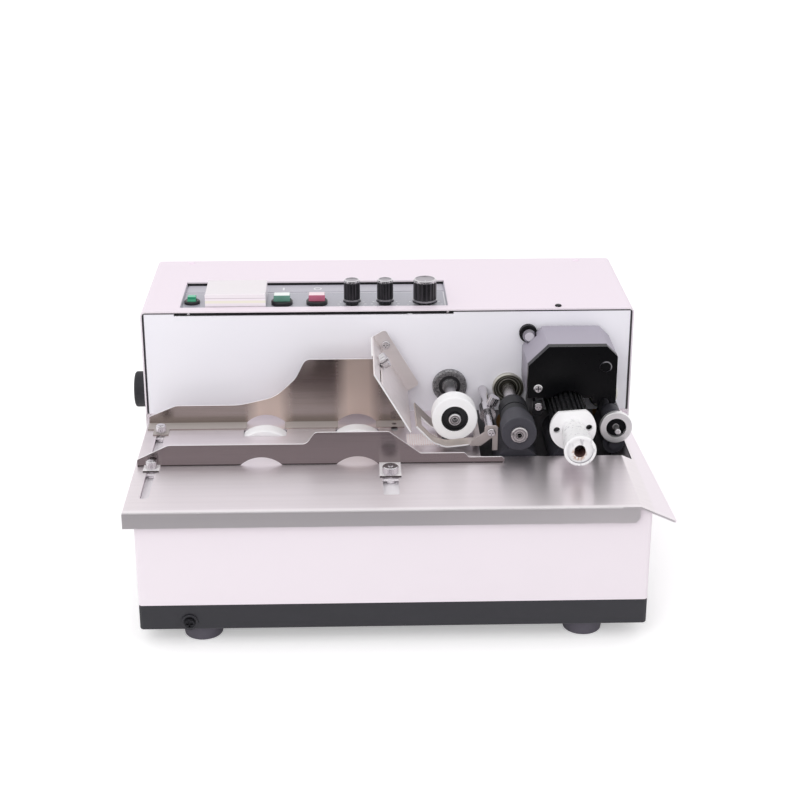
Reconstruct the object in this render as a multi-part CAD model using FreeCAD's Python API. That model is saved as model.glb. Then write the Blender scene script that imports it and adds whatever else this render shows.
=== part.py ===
import FreeCAD, Part
import math
import os

# Batch coding machine. Millimetres, +Z up, +X the way the paper travels,
# +Y from the operator to the back. The origin is on the surface that the
# machine stands on, under the middle of its body.

V = FreeCAD.Vector
X_AXIS = V(1, 0, 0)
Y_AXIS = V(0, 1, 0)
Z_AXIS = V(0, 0, 1)

# Base, tray and feet
base_width = 370.0
base_depth = 313.0
base_front_y = -155.0
table_top_z = 110.0
sheet = 1.5
base_corner_r = 3.0
base_flange = 14.0
base_vent_count = 8
base_vent_pitch = 9.0
base_vent_width = 4.0
base_vent_height = 26.0
base_vent_left_x = -150.0
base_vent_low_z = 56.0
tray_height = 20.0
tray_lip = 8.0
tray_lip_gap = 0.2
tray_edge_r = 1.4
tray_screw_inset = 36.5
tray_screw_z = 19.4
tray_screw_r = 4.2
tray_screw_head = 2.2
tray_screw_tip = 3.0
tray_boss_r = 6.2
tray_boss = 1.2
foot_height = 13.0
foot_r = 15.5
foot_taper = 1.5
foot_edge_r = 1.2
foot_inset_x = 44.5
foot_inset_y = 21.0
foot_screw_r = 2.4
foot_recess_r = 6.0
foot_recess = 7.0
foot_screw_head = 3.0
foot_head_clear = 0.8
foot_nut_wall = 2.0
foot_nut = 4.0
foot_screw_tip = 5.0

# Housing
housing_side_overhang = 10.5
housing_front_y = 23.7
housing_rear_overhang = 2.0
housing_top_z = 196.7
cover_sheet = 1.2
cover_corner_r = 4.0
panel_sheet = 1.5
panel_inset = 1.0
panel_flange = 8.0
panel_gap = 0.6
cover_screw_r = 1.4
cover_screw_head_r = 2.6
cover_screw_head = 1.2
cover_screw_inset = 6.0
cover_screw_side = 30.0
cover_front_screw_inset = 60.0
rear_vent_count = 14
rear_vent_pitch = 9.0
rear_vent_width = 4.0
rear_vent_left_x = 20.0
rear_vent_low_z = 140.0
rear_vent_high_z = 172.0
inlet_inset = 55.5
inlet_z = 146.0
inlet_width = 27.0
inlet_height = 19.8
inlet_flange_width = 48.0
inlet_flange_height = 24.0
inlet_flange = 2.5
inlet_depth = 22.0
inlet_wall = 1.6
inlet_pocket = 14.0
inlet_pin_width = 2.0
inlet_pin_height = 4.0
inlet_pin_spread = 7.0

# Table plate
table_side_overhang = 7.0
table_bend_inset = 10.0
lip_height = 12.5
lip_overhang = 5.6
lip_corner_r = 5.0
lip_fold_r = 1.2
chute_front_reach = 29.2
chute_back_reach = 18.7
chute_drop_deg = 24.3
chute_corner_r = 2.0
chute_clear = 0.3
bay_reach = 28.3
bay_side_clear = 1.8
bay_drop = 10.0
bay_front_y = -69.0
slot_left_inset = 6.2
slot_left_width = 6.6
slot_left_front_y = -137.0
slot_left_back_y = -4.0
slot_right_to_gate = 15.6
slot_right_width = 11.6
slot_right_front_y = -135.0
slot_right_back_y = -50.0
slot_rear_to_gate = 10.4
slot_rear_width = 5.0
slot_rear_front_y = -17.0
slot_rear_back_y = 7.0
slot_corner_r = 2.0
slot_tray_floor_z = 102.4
slot_tray_sheet = 1.0
slot_tray_clear = 0.6
slot_tray_end = 3.0
wheel_slot_clear = 0.6
pad_to_separator = 36.3
pad_width = 24.0
pad_front_y = -46.0
pad_back_y = -25.0
pad_thick = 0.8
pad_ribs = 10
pad_groove = 0.8

# Transport stations and shaft heights
low_shaft_z = 99.7
outfeed_inset = 11.5
print_to_outfeed = 35.5
pull_to_print = 41.7
separator_to_pull = 47.0
gate_to_separator = 34.9
feed_right_to_gate = 39.9
feed_pitch = 72.0
upper_shaft_z = 130.0
separator_z = 132.2
outfeed_z = 124.0
nip_gap = 0.3
paper_gap = 0.5

# Rollers and wheels
rubber_wall = 4.0
roller_edge_r = 0.8
hub_step = 1.0
feed_wheel_r = 26.0
feed_wheel_rise = 4.2
feed_wheel_wall = 7.0
feed_wheel_front_y = -24.0
feed_wheel_width = 13.0
separator_wheel_r = 17.5
separator_hub_r = 10.3
separator_front_y = -47.5
separator_width = 14.0
separator_dish = 1.6
separator_dish_rim = 1.2
separator_nose = 2.2
separator_nose_r = 4.7
separator_socket_r = 1.7
press_r = 13.3
press_rear_r = 11.2
press_front_y = -73.2
press_length = 53.2
press_step = 18.2
press_groove = 1.4
press_groove_width = 2.0
press_groove_back = 17.5
press_nose = 3.0
press_nose_r = 6.3
press_bore_r = 1.9
press_bore = 4.0
press_notch = 2.8
pull_front_y = -65.0
impression_back_y = 10.0
type_r = 15.0
type_ribs = 24
type_groove = 2.2
type_groove_share = 0.5
type_front_y = -64.5
type_length = 74.5
type_disc_r = 17.6
type_disc_thick = 3.0
type_disc_flat = 14.2
type_disc_gap = 2.0
type_pin_pitch = 12.3
type_pin_r = 2.5
type_hub_length = 42.5
type_turn_deg = 4.0
type_hub_r = 8.6
type_mouth_r = 12.0
type_mouth_edge = 0.6
type_cup = 2.0
type_cup_rim = 2.3
type_bore_r = 4.1
type_bore = 14.0
type_set_screw_r = 1.0
type_set_screw_back = 6.0
outfeed_r = 7.4
outfeed_low_r = 8.5
outfeed_front_y = -45.0
outfeed_length = 56.0
outfeed_grooves = 3
outfeed_groove = 0.8
outfeed_groove_width = 1.6
outfeed_ring_r = 12.6
outfeed_ring = 4.0
outfeed_ring_wall = 5.0
outfeed_ring_dish = 2.4
outfeed_tip_r = 2.2
outfeed_tip = 11.0
outfeed_low_inset = 4.5

# Shafts, bushes, collars and the inner frame
shaft_r = 5.0
separator_shaft_r = 4.3
outfeed_shaft_r = 4.0
running_fit = 0.05
shaft_lead = 3.0
shaft_tail = 4.0
bush_wall = 3.5
clip_r = 2.4
clip_thick = 2.5
clip_gap = 0.5
port_clear = 1.0
collar_reach = 4.0
collar_chamfer = 1.2
collar_rim = 2.6
collar_cup_lip = 1.4
collar_cup = 1.6
separator_collar_r = 13.8
press_collar_r = 12.5
type_collar_r = 8.6
outfeed_collar_r = 11.8
frame_plate = 4.0
frame_front_y = 26.6
frame_spacing = 58.0
frame_side_gap = 2.0
frame_foot_inset = 2.5
frame_foot_height = 32.0
frame_left_to_feed = 26.5
frame_head_to_separator = 19.3
frame_head_slope = 20.0
frame_head_top_z = 188.0
frame_shoulder_z = 120.0
frame_corner_r = 6.0
frame_window_low_z = 36.0
frame_window_high_z = 70.0
frame_window_margin = 16.0
frame_clear = 2.0
post_r = 5.0
post_screw_r = 2.0
post_nut = 3.0
post_nut_wall = 2.0
post_inset = 10.0

# Drive
gear_module = 1.25
gear_teeth = 24
gear_width = 8.0
tooth_thin = 0.12
pressure_deg = 20.0
root_factor = 1.25
drive_gap = 3.0
pulley_r = 7.0
pulley_flange_r = 8.4
pulley_width = 8.0
pulley_flange = 1.0
belt_thick = 1.3
belt_clear = 0.1
belt_side = 0.5
outfeed_big_pulley_r = 12.0
outfeed_small_pulley_r = 6.0
motor_to_pull = 16.3
motor_z = 55.0
motor_r = 28.0
motor_rear_gap = 4.9
motor_edge_r = 3.0
motor_cap_r = 8.0
motor_cap = 4.0
gearbox_half = 29.0
gearbox_length = 18.0
gearbox_corner_r = 5.0
motor_shaft_r = 4.0
motor_seat = 12.0

# Paper guides
guide_sheet = 1.2
guide_left_overhang = 5.0
guide_corner_r = 1.5
rear_guide_y = 2.9
rear_guide_left_z = 116.4
rear_guide_low_z = 125.5
rear_guide_high_z = 163.6
rear_guide_ramp = 21.5
rear_guide_rise_to_feed = 20.5
rear_guide_head_to_feed = 40.0
rear_guide_head_r = 6.5
rear_guide_shoulder = 8.0
rear_guide_shoulder_drop = 16.2
rear_guide_shoulder_r = 20.0
rear_guide_hollow = 24.5
rear_guide_hollow_rise = 6.6
rear_guide_hollow_r = 30.0
rear_guide_rise_r = 60.0
guide_ramp_r = 10.0
rear_gate_gap = 2.4
rear_foot = 12.7
rear_arch_half = 16.2
rear_arch_height = 7.3
rear_left_stud_reach = 19.9
rear_right_stud_reach = 7.9
front_guide_y = -79.0
front_guide_left_z = 115.4
front_guide_low_z = 126.6
front_guide_high_z = 136.0
front_guide_end_z = 118.2
front_guide_nose_z = 114.6
front_guide_ramp = 23.5
front_guide_step_to_feed = 38.0
front_guide_step = 6.5
front_guide_step_r = 6.0
front_guide_high_r = 4.5
front_guide_fall_to_gate = 16.4
front_guide_fall_r = 2.5
front_guide_foot_from_gate = 7.4
front_guide_foot_r = 3.0
front_guide_drop_from_gate = 40.5
front_guide_drop = 3.1
front_guide_tip_from_pull = 10.9
front_guide_tip = 2.4
front_guide_tip_r = 1.2
front_guide_toe = 1.8
front_guide_toe_rise = 2.2
front_notch_half = 15.8
front_notch_height = 6.4
front_left_stud_reach = 7.0
front_right_stud_reach = 21.0
guide_tab_margin = 5.0
guide_tab_half_left = 6.0
guide_tab_half_right = 8.0
guide_stud_r = 2.0
left_nut_r = 4.0
right_nut_r = 6.0
nut_height = 6.0
nut_neck = 1.2
nut_neck_share = 0.8
nut_flute = 0.35
nut_flutes = 16
nut_edge_r = 0.8
stud_tip = 0.6
keeper_thick = 1.5
keeper_gap = 0.3
keeper_lap = 1.1
keeper_depth = 9.0
keeper_nut = 2.5
keeper_nut_wall = 1.2

# Gate over the paper throat
gate_run = 27.3
gate_top_z = 177.3
gate_bottom_z = 130.8
gate_front_y = -70.0
gate_back_y = 14.6
gate_leaf = 12.0
gate_leg_front_y = -28.0
gate_corner_r = 3.0
gate_slot_width = 3.8
gate_slot_front_y = -66.0
gate_slot_back_y = -5.0
gate_nut_u = 10.0
gate_nut_y = -22.0
gate_nut_r = 6.0
gate_nut = 4.4
gate_nut_neck_r = 4.2
gate_nut_neck = 1.4
gate_stud_r = 1.6
gate_stud_tip = 1.0
gate_screw_u = 11.0
gate_screw_n = 6.0
gate_screw_r = 3.4
gate_screw_head = 2.2
gate_stem_r = 2.0
gate_post_r = 4.0
gate_spigot_r = 2.5

# Curved paper guide, its rod and clamp
curved_front_y = -62.0
curved_back_y = -14.0
curved_left_reach = 30.3
curved_left_z = 132.0
curved_drop_reach = 17.8
curved_drop_z = 118.6
curved_low_reach = 7.3
curved_low_z = 114.6
curved_right_reach = 19.7
curved_right_z = 117.4
curved_bend_r = 12.0
curved_window_gap = 2.0
curved_rail = 5.0
rod_to_separator = 26.7
guide_rod_z = 128.0
guide_rod_r = 3.6
guide_rod_front_y = -62.4
guide_lug_half = 5.0
guide_lug_r = 2.0
guide_lug_gap = 0.3
guide_arm = 8.0
guide_screw_r = 3.2
guide_screw_stem_r = 2.0
guide_screw_head = 2.2
guide_screw_depth = 3.0
guide_screw_gap = 0.2
guide_leg_left = 1.0
guide_leg_low_z = 113.0
clamp_front_y = -31.0
clamp_length = 16.0
clamp_r = 6.2
clamp_tilt_deg = 25.0
clamp_knob_r = 4.3
clamp_knob = 6.5
clamp_stem_r = 1.6
clamp_neck = 1.0
clamp_tip_gap = 0.2

# Ink head
head_pivot_to_print = 26.5
head_pivot_z = 176.5
head_left_to_print = 31.3
head_right_from_print = 37.5
head_top_z = 183.0
head_left_low_z = 141.0
head_right_low_z = 136.0
head_chamfer_left = 15.6
head_chamfer_right = 8.4
head_front_y = -28.0
head_back_y = 20.6
head_plate = 2.0
head_plate_gap = 0.2
head_wall = 1.5
head_arch_clear = 1.6
head_leg_width = 18.0
head_leg_side = 14.0
head_leg_arch_r = 4.5
head_leg_arch_offset = 9.5
head_boss_inset = 9.0
head_boss_z = 166.0
head_boss_r = 4.6
head_boss_wall = 0.8
head_boss = 0.5
head_lug_r = 7.2
pivot_bolt_r = 3.0
dome_r = 5.2
dome_length = 6.5
dome_clear = 0.8
dome_gap = 0.3
cover_fix_inset = 8.0
cover_fix_z = 149.3
cover_fix_r = 3.6
cover_fix_stem_r = 1.8
cover_fix_post = 4.0
cover_fix_head = 2.2
cover_fix_depth = 7.0
ink_roll_r = 14.5
ink_roll_from_print = 2.0
ink_roll_length = 30.0
ink_roll_front_y = -22.0
ink_roll_edge_r = 0.6
ink_spindle_r = 4.0
heater_gap = 1.5
heater_wall = 3.0
heater_rise = 2.0
bracket_to_print = 26.8
bracket_low_z = 112.5
bracket_high_z = 138.0
bracket_front_y = -27.0
bracket_tab = 7.4
bracket_tab_height = 11.5
bracket_foot = 6.0
bracket_screw_r = 3.5
bracket_screw_stem_r = 1.5
bracket_screw_drop = 4.5
bracket_screw_head = 2.0
bracket_screw_depth = 4.0

# Control panel and what stands on it
panel_left_inset = 30.5
panel_width = 213.0
panel_front_y = 33.5
panel_back_y = 100.0
panel_depth = 3.0
panel_rim = 5.0
panel_rim_thick = 1.0
panel_label_depth = 20.0
panel_label = 0.4
strip_reach = 4.0
strip_height = 2.4
strip_gap = 0.3
knob_one_inset = 136.6
knob_two_inset = 163.2
knob_three_inset = 195.0
knob_small_y = 48.0
knob_small_r = 6.5
knob_small_height = 18.3
knob_large_y = 46.0
knob_large_r = 9.3
knob_large_height = 19.0
knob_gap = 2.5
knob_flutes = 20
knob_flute = 0.5
knob_skirt = 2.0
knob_skirt_flare = 0.7
knob_crown = 1.4
knob_crown_rim = 1.3
knob_crown_dish = 0.5
knob_pointer = 0.8
knob_socket = 7.0
pot_r = 7.5
pot_depth = 12.0
pot_spindle_r = 3.0
pot_spindle = 8.5
pot_nut_r = 5.2
pot_nut = 2.0
button_green_inset = 80.4
button_red_inset = 108.4
button_y = 50.0
button_width = 13.0
button_depth = 8.2
button_top = 8.6
button_travel = 3.0
button_fit = 0.3
button_edge_r = 0.8
button_bezel_r = 8.6
button_bezel = 3.5
button_neck_r = 6.6
button_neck = 22.0
button_stem_r = 3.0
button_stem = 8.0
switch_inset = 8.0
switch_y = 54.0
switch_r = 6.4
switch_bezel = 2.5
switch_neck_r = 5.8
switch_neck = 20.0
switch_pocket = 7.0
rocker_half_x = 3.4
rocker_half_y = 4.0
rocker_fit = 0.3
rocker_axis = 1.0
rocker_rise = 5.2
rocker_crown_half_y = 2.8
rocker_edge_r = 0.7
counter_inset = 20.0
counter_front_y = 35.0
counter_width = 48.0
counter_depth = 41.0
counter_cover_height = 10.5
counter_wall = 1.2
counter_gap = 1.0
counter_lift = 0.5
counter_body = 5.0
counter_tank_inset = 3.2
counter_tank = 26.0
counter_window_x = 5.0
counter_window_front = 9.0
counter_window_back = 12.0
counter_window_depth = 1.0
counter_hinge_r = 1.6
counter_hinge_lift = 0.6
counter_ear = 8.0
counter_ear_inset = 6.0
counter_stand = 3.0
hinge_pin_r = 0.7

# Side knob and drive board
side_knob_y = 44.0
side_knob_z = 124.0
side_knob_r = 14.5
side_knob_thick = 9.2
side_knob_gap = 0.3
side_knob_edge_r = 2.0
side_knob_rim = 5.0
side_knob_dish = 1.2
side_stud_r = 3.0
side_stud = 14.0
board_side_gap = 17.0
board_front_gap = 20.0
board_width = 116.0
board_depth = 48.0
board_lift = 6.0
board_thick = 1.6
board_pillar_r = 3.0
board_pillar_inset = 5.0
board_core_inset = 8.0
board_core_width = 40.0
board_core_height = 32.0
board_sink_inset = 56.0
board_sink_thick = 6.0
board_sink_height = 24.0
board_can_r = 5.0
board_can_height = 18.0
board_can_pitch = 14.0
board_can_front = 14.0
board_can_inset = 64.0
board_cans = 3

# Values that follow from the ones above
half_base = base_width / 2
housing_width = base_width + 2 * housing_side_overhang
half_housing = housing_width / 2
base_back_y = base_front_y + base_depth
housing_back_y = base_back_y + housing_rear_overhang
tray_screw_x = -half_base + tray_screw_inset
cover_front_screw_x = half_housing - cover_front_screw_inset
inlet_x = -half_housing + inlet_inset
table_left_x = -half_base - table_side_overhang
table_bend_x = half_base - table_bend_inset
outfeed_x = half_base - outfeed_inset
print_x = outfeed_x - print_to_outfeed
pull_x = print_x - pull_to_print
separator_x = pull_x - separator_to_pull
gate_bottom_x = separator_x - gate_to_separator
gate_top_x = gate_bottom_x - gate_run
feed_right_x = gate_bottom_x - feed_right_to_gate
feed_left_x = feed_right_x - feed_pitch
feed_shaft_z = table_top_z + feed_wheel_rise - feed_wheel_r
bay_left_x = pull_x - bay_reach
bay_right_x = half_base - bay_side_clear
slot_left_x = -half_base + slot_left_inset
slot_right_x = gate_bottom_x - slot_right_to_gate
slot_rear_x = gate_bottom_x - slot_rear_to_gate
pad_left_x = separator_x - pad_to_separator
pad_right_x = pad_left_x + pad_width
guide_left_x = -half_base - guide_left_overhang
curved_left_x = separator_x - curved_left_reach
curved_drop_x = separator_x - curved_drop_reach
curved_low_x = separator_x - curved_low_reach
curved_right_x = separator_x + curved_right_reach
guide_rod_x = separator_x + rod_to_separator
bracket_x = print_x - bracket_to_print
head_pivot_x = print_x - head_pivot_to_print
head_left_x = print_x - head_left_to_print
head_right_x = print_x + head_right_from_print
head_boss_x = head_right_x - head_boss_inset
cover_fix_x = head_left_x + cover_fix_inset
ink_roll_x = print_x + ink_roll_from_print
frame_left_x = feed_left_x - frame_left_to_feed
frame_right_x = half_base - frame_side_gap
frame_head_left_x = separator_x - frame_head_to_separator
motor_x = pull_x - motor_to_pull
panel_left_x = -half_housing + panel_left_inset
panel_right_x = panel_left_x + panel_width
knob_one_x = panel_left_x + knob_one_inset
knob_two_x = panel_left_x + knob_two_inset
knob_three_x = panel_left_x + knob_three_inset
button_green_x = panel_left_x + button_green_inset
button_red_x = panel_left_x + button_red_inset
switch_x = panel_left_x + switch_inset
counter_left_x = panel_left_x + counter_inset
strip_left_x = panel_left_x - strip_reach
strip_right_x = panel_right_x + strip_reach
tray_top_z = foot_height + tray_height
tray_floor_z = foot_height + sheet
table_bottom_z = table_top_z - sheet
table_front_y = base_front_y - lip_overhang
panel_face_y = housing_front_y + panel_inset
panel_rear_y = panel_face_y + panel_sheet
panel_floor_z = housing_top_z - panel_depth
panel_edge = cover_sheet + panel_gap
frame_back_y = frame_front_y + frame_spacing
frame_gap_y = frame_front_y + frame_plate
frame_rear_y = frame_back_y + frame_plate
shaft_end_y = frame_rear_y + shaft_tail
feed_belt_y = frame_gap_y + 2 * drive_gap
gear_y = feed_belt_y + pulley_width + drive_gap
motor_belt_y = gear_y + gear_width + drive_gap
outfeed_belt_y = motor_belt_y + pulley_width + drive_gap
lower_feed_r = separator_z - separator_wheel_r - paper_gap - low_shaft_z
lower_pull_r = upper_shaft_z - press_r - nip_gap - low_shaft_z
impression_r = upper_shaft_z - type_r - nip_gap - low_shaft_z
outfeed_low_z = outfeed_z - outfeed_r - nip_gap - outfeed_low_r
ink_roll_z = upper_shaft_z + math.sqrt((type_r + ink_roll_r + nip_gap) ** 2 - (ink_roll_x - print_x) ** 2)
feed_drive_r = pulley_r * feed_wheel_r / lower_feed_r
motor_length = base_back_y - sheet - motor_rear_gap - motor_cap - gearbox_length - frame_rear_y
rear_foot_y = rear_guide_y - guide_sheet - rear_foot
rocker_axis_z = panel_floor_z + rocker_axis
counter_hinge_y = counter_front_y + counter_depth - counter_hinge_r
counter_hinge_z = panel_floor_z + counter_hinge_r + counter_hinge_lift
bracket_screw_x = bracket_x + (bracket_tab + guide_sheet) / 2
bracket_screw_z = bracket_high_z - bracket_screw_drop
guide_lug_y = guide_rod_front_y - guide_lug_gap - guide_sheet


def box(x0, x1, y0, y1, z0, z1):
    return Part.makeBox(x1 - x0, y1 - y0, z1 - z0, V(x0, y0, z0))


def rod_x(y, z, r, x0, x1):
    return Part.makeCylinder(r, x1 - x0, V(x0, y, z), X_AXIS)


def rod_y(x, z, r, y0, y1):
    return Part.makeCylinder(r, y1 - y0, V(x, y0, z), Y_AXIS)


def rod_z(x, y, r, z0, z1):
    return Part.makeCylinder(r, z1 - z0, V(x, y, z0), Z_AXIS)


def tube_y(x, z, r_out, r_in, y0, y1):
    return rod_y(x, z, r_out, y0, y1).cut(rod_y(x, z, r_in, y0 - 1, y1 + 1))


def fuse_all(shapes):
    joined = shapes[0]
    for shape in shapes[1:]:
        joined = joined.fuse(shape)
    return joined.removeSplitter()


def cut_all(shape, tools):
    for tool in tools:
        shape = shape.cut(tool)
    return shape


def group(shapes):
    return Part.makeCompound(shapes)


def edges_where(shape, test):
    """Edges whose bounding box passes the test."""
    return [edge for edge in shape.Edges if test(edge.BoundBox)]


def round_front(shape, y, r):
    """Round the outermost circle of a turned piece at its front face."""
    width = shape.BoundBox.XLength
    return shape.makeFillet(r, edges_where(shape, lambda b: b.YMax < y + 0.01 and b.XLength > width - 0.1))


def rounded_wire(corners, place):
    """Closed wire through corners (u, v, radius), with each corner rounded."""
    bends = []
    count = len(corners)
    for i in range(count):
        u, v, r = corners[i]
        here = V(u, v, 0)
        if r <= 0:
            bends.append((here, here, None))
            continue
        to_last = V(*corners[i - 1][:2], 0) - here
        to_next = V(*corners[(i + 1) % count][:2], 0) - here
        to_last.normalize()
        to_next.normalize()
        half = to_last.getAngle(to_next) / 2
        reach = r / math.tan(half)
        middle = to_last + to_next
        middle.normalize()
        peak = here + middle * (r / math.sin(half) - r)
        bends.append((here + to_last * reach, here + to_next * reach, peak))
    edges = []
    for i in range(count):
        start, end, peak = bends[i]
        following = bends[(i + 1) % count][0]
        if peak is not None:
            edges.append(Part.Arc(place(start), place(peak), place(end)).toShape())
        if end.distanceToPoint(following) > 1e-6:
            edges.append(Part.makeLine(place(end), place(following)))
    return Part.Wire(edges)


def plate_xz(corners, y0, y1):
    """Sheet whose outline is drawn in X and Z, from y0 to y1."""
    wire = rounded_wire(corners, lambda p: V(p.x, y0, p.y))
    return Part.Face(wire).extrude(V(0, y1 - y0, 0))


def plate_xy(corners, z0, z1):
    """Sheet whose outline is drawn in X and Y, from z0 to z1."""
    wire = rounded_wire(corners, lambda p: V(p.x, p.y, z0))
    return Part.Face(wire).extrude(V(0, 0, z1 - z0))


def rectangle(u0, u1, v0, v1, r):
    return [(u0, v0, r), (u1, v0, r), (u1, v1, r), (u0, v1, r)]


def bent_sheet(path, bend_r, thickness, y0, y1):
    """Folded sheet: path runs along its underside in X and Z, with the metal to its left."""
    low_side = []
    high_side = []
    last = len(path) - 1
    for i, (x, z) in enumerate(path):
        here = V(x, z, 0)
        normals = []
        for a, b in ((i - 1, i), (i, i + 1)):
            if a >= 0 and b <= last:
                step = V(path[b][0] - path[a][0], path[b][1] - path[a][1], 0)
                normals.append(V(-step.y, step.x, 0).normalize())
        middle = normals[0] + normals[-1]
        middle.normalize()
        moved = here + middle * (thickness / middle.dot(normals[0]))
        if i in (0, last):
            low_r, high_r = 0, 0
        elif normals[0].cross(normals[1]).z > 0:
            low_r, high_r = bend_r + thickness, bend_r
        else:
            low_r, high_r = bend_r, bend_r + thickness
        low_side.append((here.x, here.y, low_r))
        high_side.append((moved.x, moved.y, high_r))
    return plate_xz(low_side + high_side[::-1], y0, y1)


def pan_screw(x, z, head_r, head, stem_r, stem, y_face):
    """Cross-recessed screw driven along +Y, its head in front of y_face."""
    y_top = y_face - head
    dome = rod_y(x, z, head_r, y_top, y_face)
    dome = round_front(dome, y_top, head * 0.45)
    arm = head_r * 0.6
    half = head_r * 0.13
    flat = box(x - arm, x + arm, y_top - 1, y_top + head / 2, z - half, z + half)
    upright = box(x - half, x + half, y_top - 1, y_top + head / 2, z - arm, z + arm)
    return dome.cut(flat.fuse(upright)).fuse(rod_y(x, z, stem_r, y_face, y_face + stem)).removeSplitter()


def fluted(x, y, r, depth, flutes, z0, z1):
    """Round grip with flutes cut along Z."""
    flute_r = math.pi * r / flutes * 0.45
    reach = r + flute_r - depth
    cutters = []
    for i in range(flutes):
        angle = 2 * math.pi * i / flutes
        cutters.append(rod_z(x + reach * math.cos(angle), y + reach * math.sin(angle), flute_r, z0 - 1,
                             z1 + 1))
    return rod_z(x, y, r, z0, z1).cut(cutters[0].multiFuse(cutters[1:]))


def gear(x, z, y0, y1, phase):
    """Spur gear about Y, its straight-sided teeth a little thin for backlash."""
    pitch_r = gear_module * gear_teeth / 2
    tip_r = pitch_r + gear_module
    root_r = pitch_r - root_factor * gear_module
    slope = math.tan(math.radians(pressure_deg))
    half_pitch = (math.pi * gear_module / 2 - tooth_thin) / 2
    half_tip = half_pitch - gear_module * slope
    half_root = half_pitch + root_factor * gear_module * slope
    points = []
    for i in range(gear_teeth):
        middle = phase + 2 * math.pi * i / gear_teeth
        for r, half in ((root_r, -half_root), (tip_r, -half_tip), (tip_r, half_tip), (root_r, half_root)):
            angle = middle + half / r
            points.append(V(x + r * math.cos(angle), y0, z + r * math.sin(angle)))
    return Part.Face(Part.makePolygon(points + points[:1])).extrude(V(0, y1 - y0, 0))


def pulley(x, z, r, flange_r, y0):
    """Belt pulley about Y with a flange at each side."""
    y1 = y0 + pulley_width
    flanges = [rod_y(x, z, flange_r, y0, y0 + pulley_flange), rod_y(x, z, flange_r, y1 - pulley_flange, y1)]
    return fuse_all([rod_y(x, z, r, y0, y1)] + flanges)


def belt_loop(start, start_r, end, end_r, y0, y1):
    """Solid band round two circles about Y, given by centre and radius."""
    a = V(start[0], y0, start[1])
    b = V(end[0], y0, end[1])
    along = b - a
    heading = math.atan2(along.z, along.x)
    lean = math.acos((start_r - end_r) / along.Length)

    def at(centre, r, angle):
        return centre + V(r * math.cos(angle), 0, r * math.sin(angle))

    up = heading + lean
    down = heading - lean
    edges = [Part.makeLine(at(a, start_r, up), at(b, end_r, up)),
             Part.Arc(at(b, end_r, up), at(b, end_r, heading), at(b, end_r, down)).toShape(),
             Part.makeLine(at(b, end_r, down), at(a, start_r, down)),
             Part.Arc(at(a, start_r, down), at(a, start_r, heading + math.pi), at(a, start_r, up)).toShape()]
    return Part.Face(Part.Wire(edges)).extrude(V(0, y1 - y0, 0))


def belt(start, start_r, end, end_r, pulley_y):
    """Closed flat belt between the flanges of two pulleys."""
    y0 = pulley_y + pulley_flange + belt_side
    y1 = pulley_y + pulley_width - pulley_flange - belt_side
    outside = belt_clear + belt_thick
    band = belt_loop(start, start_r + outside, end, end_r + outside, y0, y1)
    return band.cut(belt_loop(start, start_r + belt_clear, end, end_r + belt_clear, y0, y1))


def retaining_clip(x, z, r):
    """Clip on a shaft just behind the front frame plate."""
    y0 = frame_gap_y + clip_gap
    return tube_y(x, z, r + clip_r, r, y0, y0 + clip_thick)


# Base: shell, tray, feet and their screws
def make_base_shell():
    outer = box(-half_base, half_base, base_front_y, base_back_y, tray_top_z, table_bottom_z)
    outer = outer.makeFillet(base_corner_r,
                             edges_where(outer, lambda b: b.ZLength > sheet and b.XLength < 0.01
                                                        and b.YLength < 0.01))
    inner = box(-half_base + sheet, half_base - sheet, base_front_y + sheet, base_back_y - sheet,
                tray_top_z - 1, table_bottom_z - sheet)
    mouth_low = table_bottom_z - 2 * sheet
    long_mouth = box(-half_base + base_flange, half_base - base_flange, base_front_y + base_flange,
                     base_back_y - base_flange, mouth_low, table_top_z)
    wide_mouth = box(-half_base + sheet, half_base - sheet, base_front_y + base_flange,
                     shaft_end_y + frame_clear, mouth_low, table_top_z)
    cuts = [inner, long_mouth, wide_mouth, chute_relief()]
    for i in range(base_vent_count):
        x = base_vent_left_x + i * base_vent_pitch
        cuts.append(box(x, x + base_vent_width, base_back_y - 2 * sheet, base_back_y + 1,
                        base_vent_low_z, base_vent_low_z + base_vent_height))
    return cut_all(outer, cuts)


def chute_relief():
    """Space above the right wall that lets the chute slope past it."""
    drop = math.radians(chute_drop_deg)
    depth = sheet + chute_clear
    start_x = table_bend_x - depth * math.sin(drop)
    start_z = table_top_z - depth * math.cos(drop)
    end_x = start_x + chute_front_reach * math.cos(drop)
    end_z = start_z - chute_front_reach * math.sin(drop)
    corners = [(start_x, start_z, 0), (end_x, end_z, 0), (end_x, table_top_z + 1, 0),
               (start_x, table_top_z + 1, 0)]
    return plate_xz(corners, table_front_y, housing_front_y)


def foot_centres():
    for x in (-half_base + foot_inset_x, half_base - foot_inset_x):
        for y in (base_front_y + foot_inset_y, base_back_y - foot_inset_y):
            yield x, y


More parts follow.
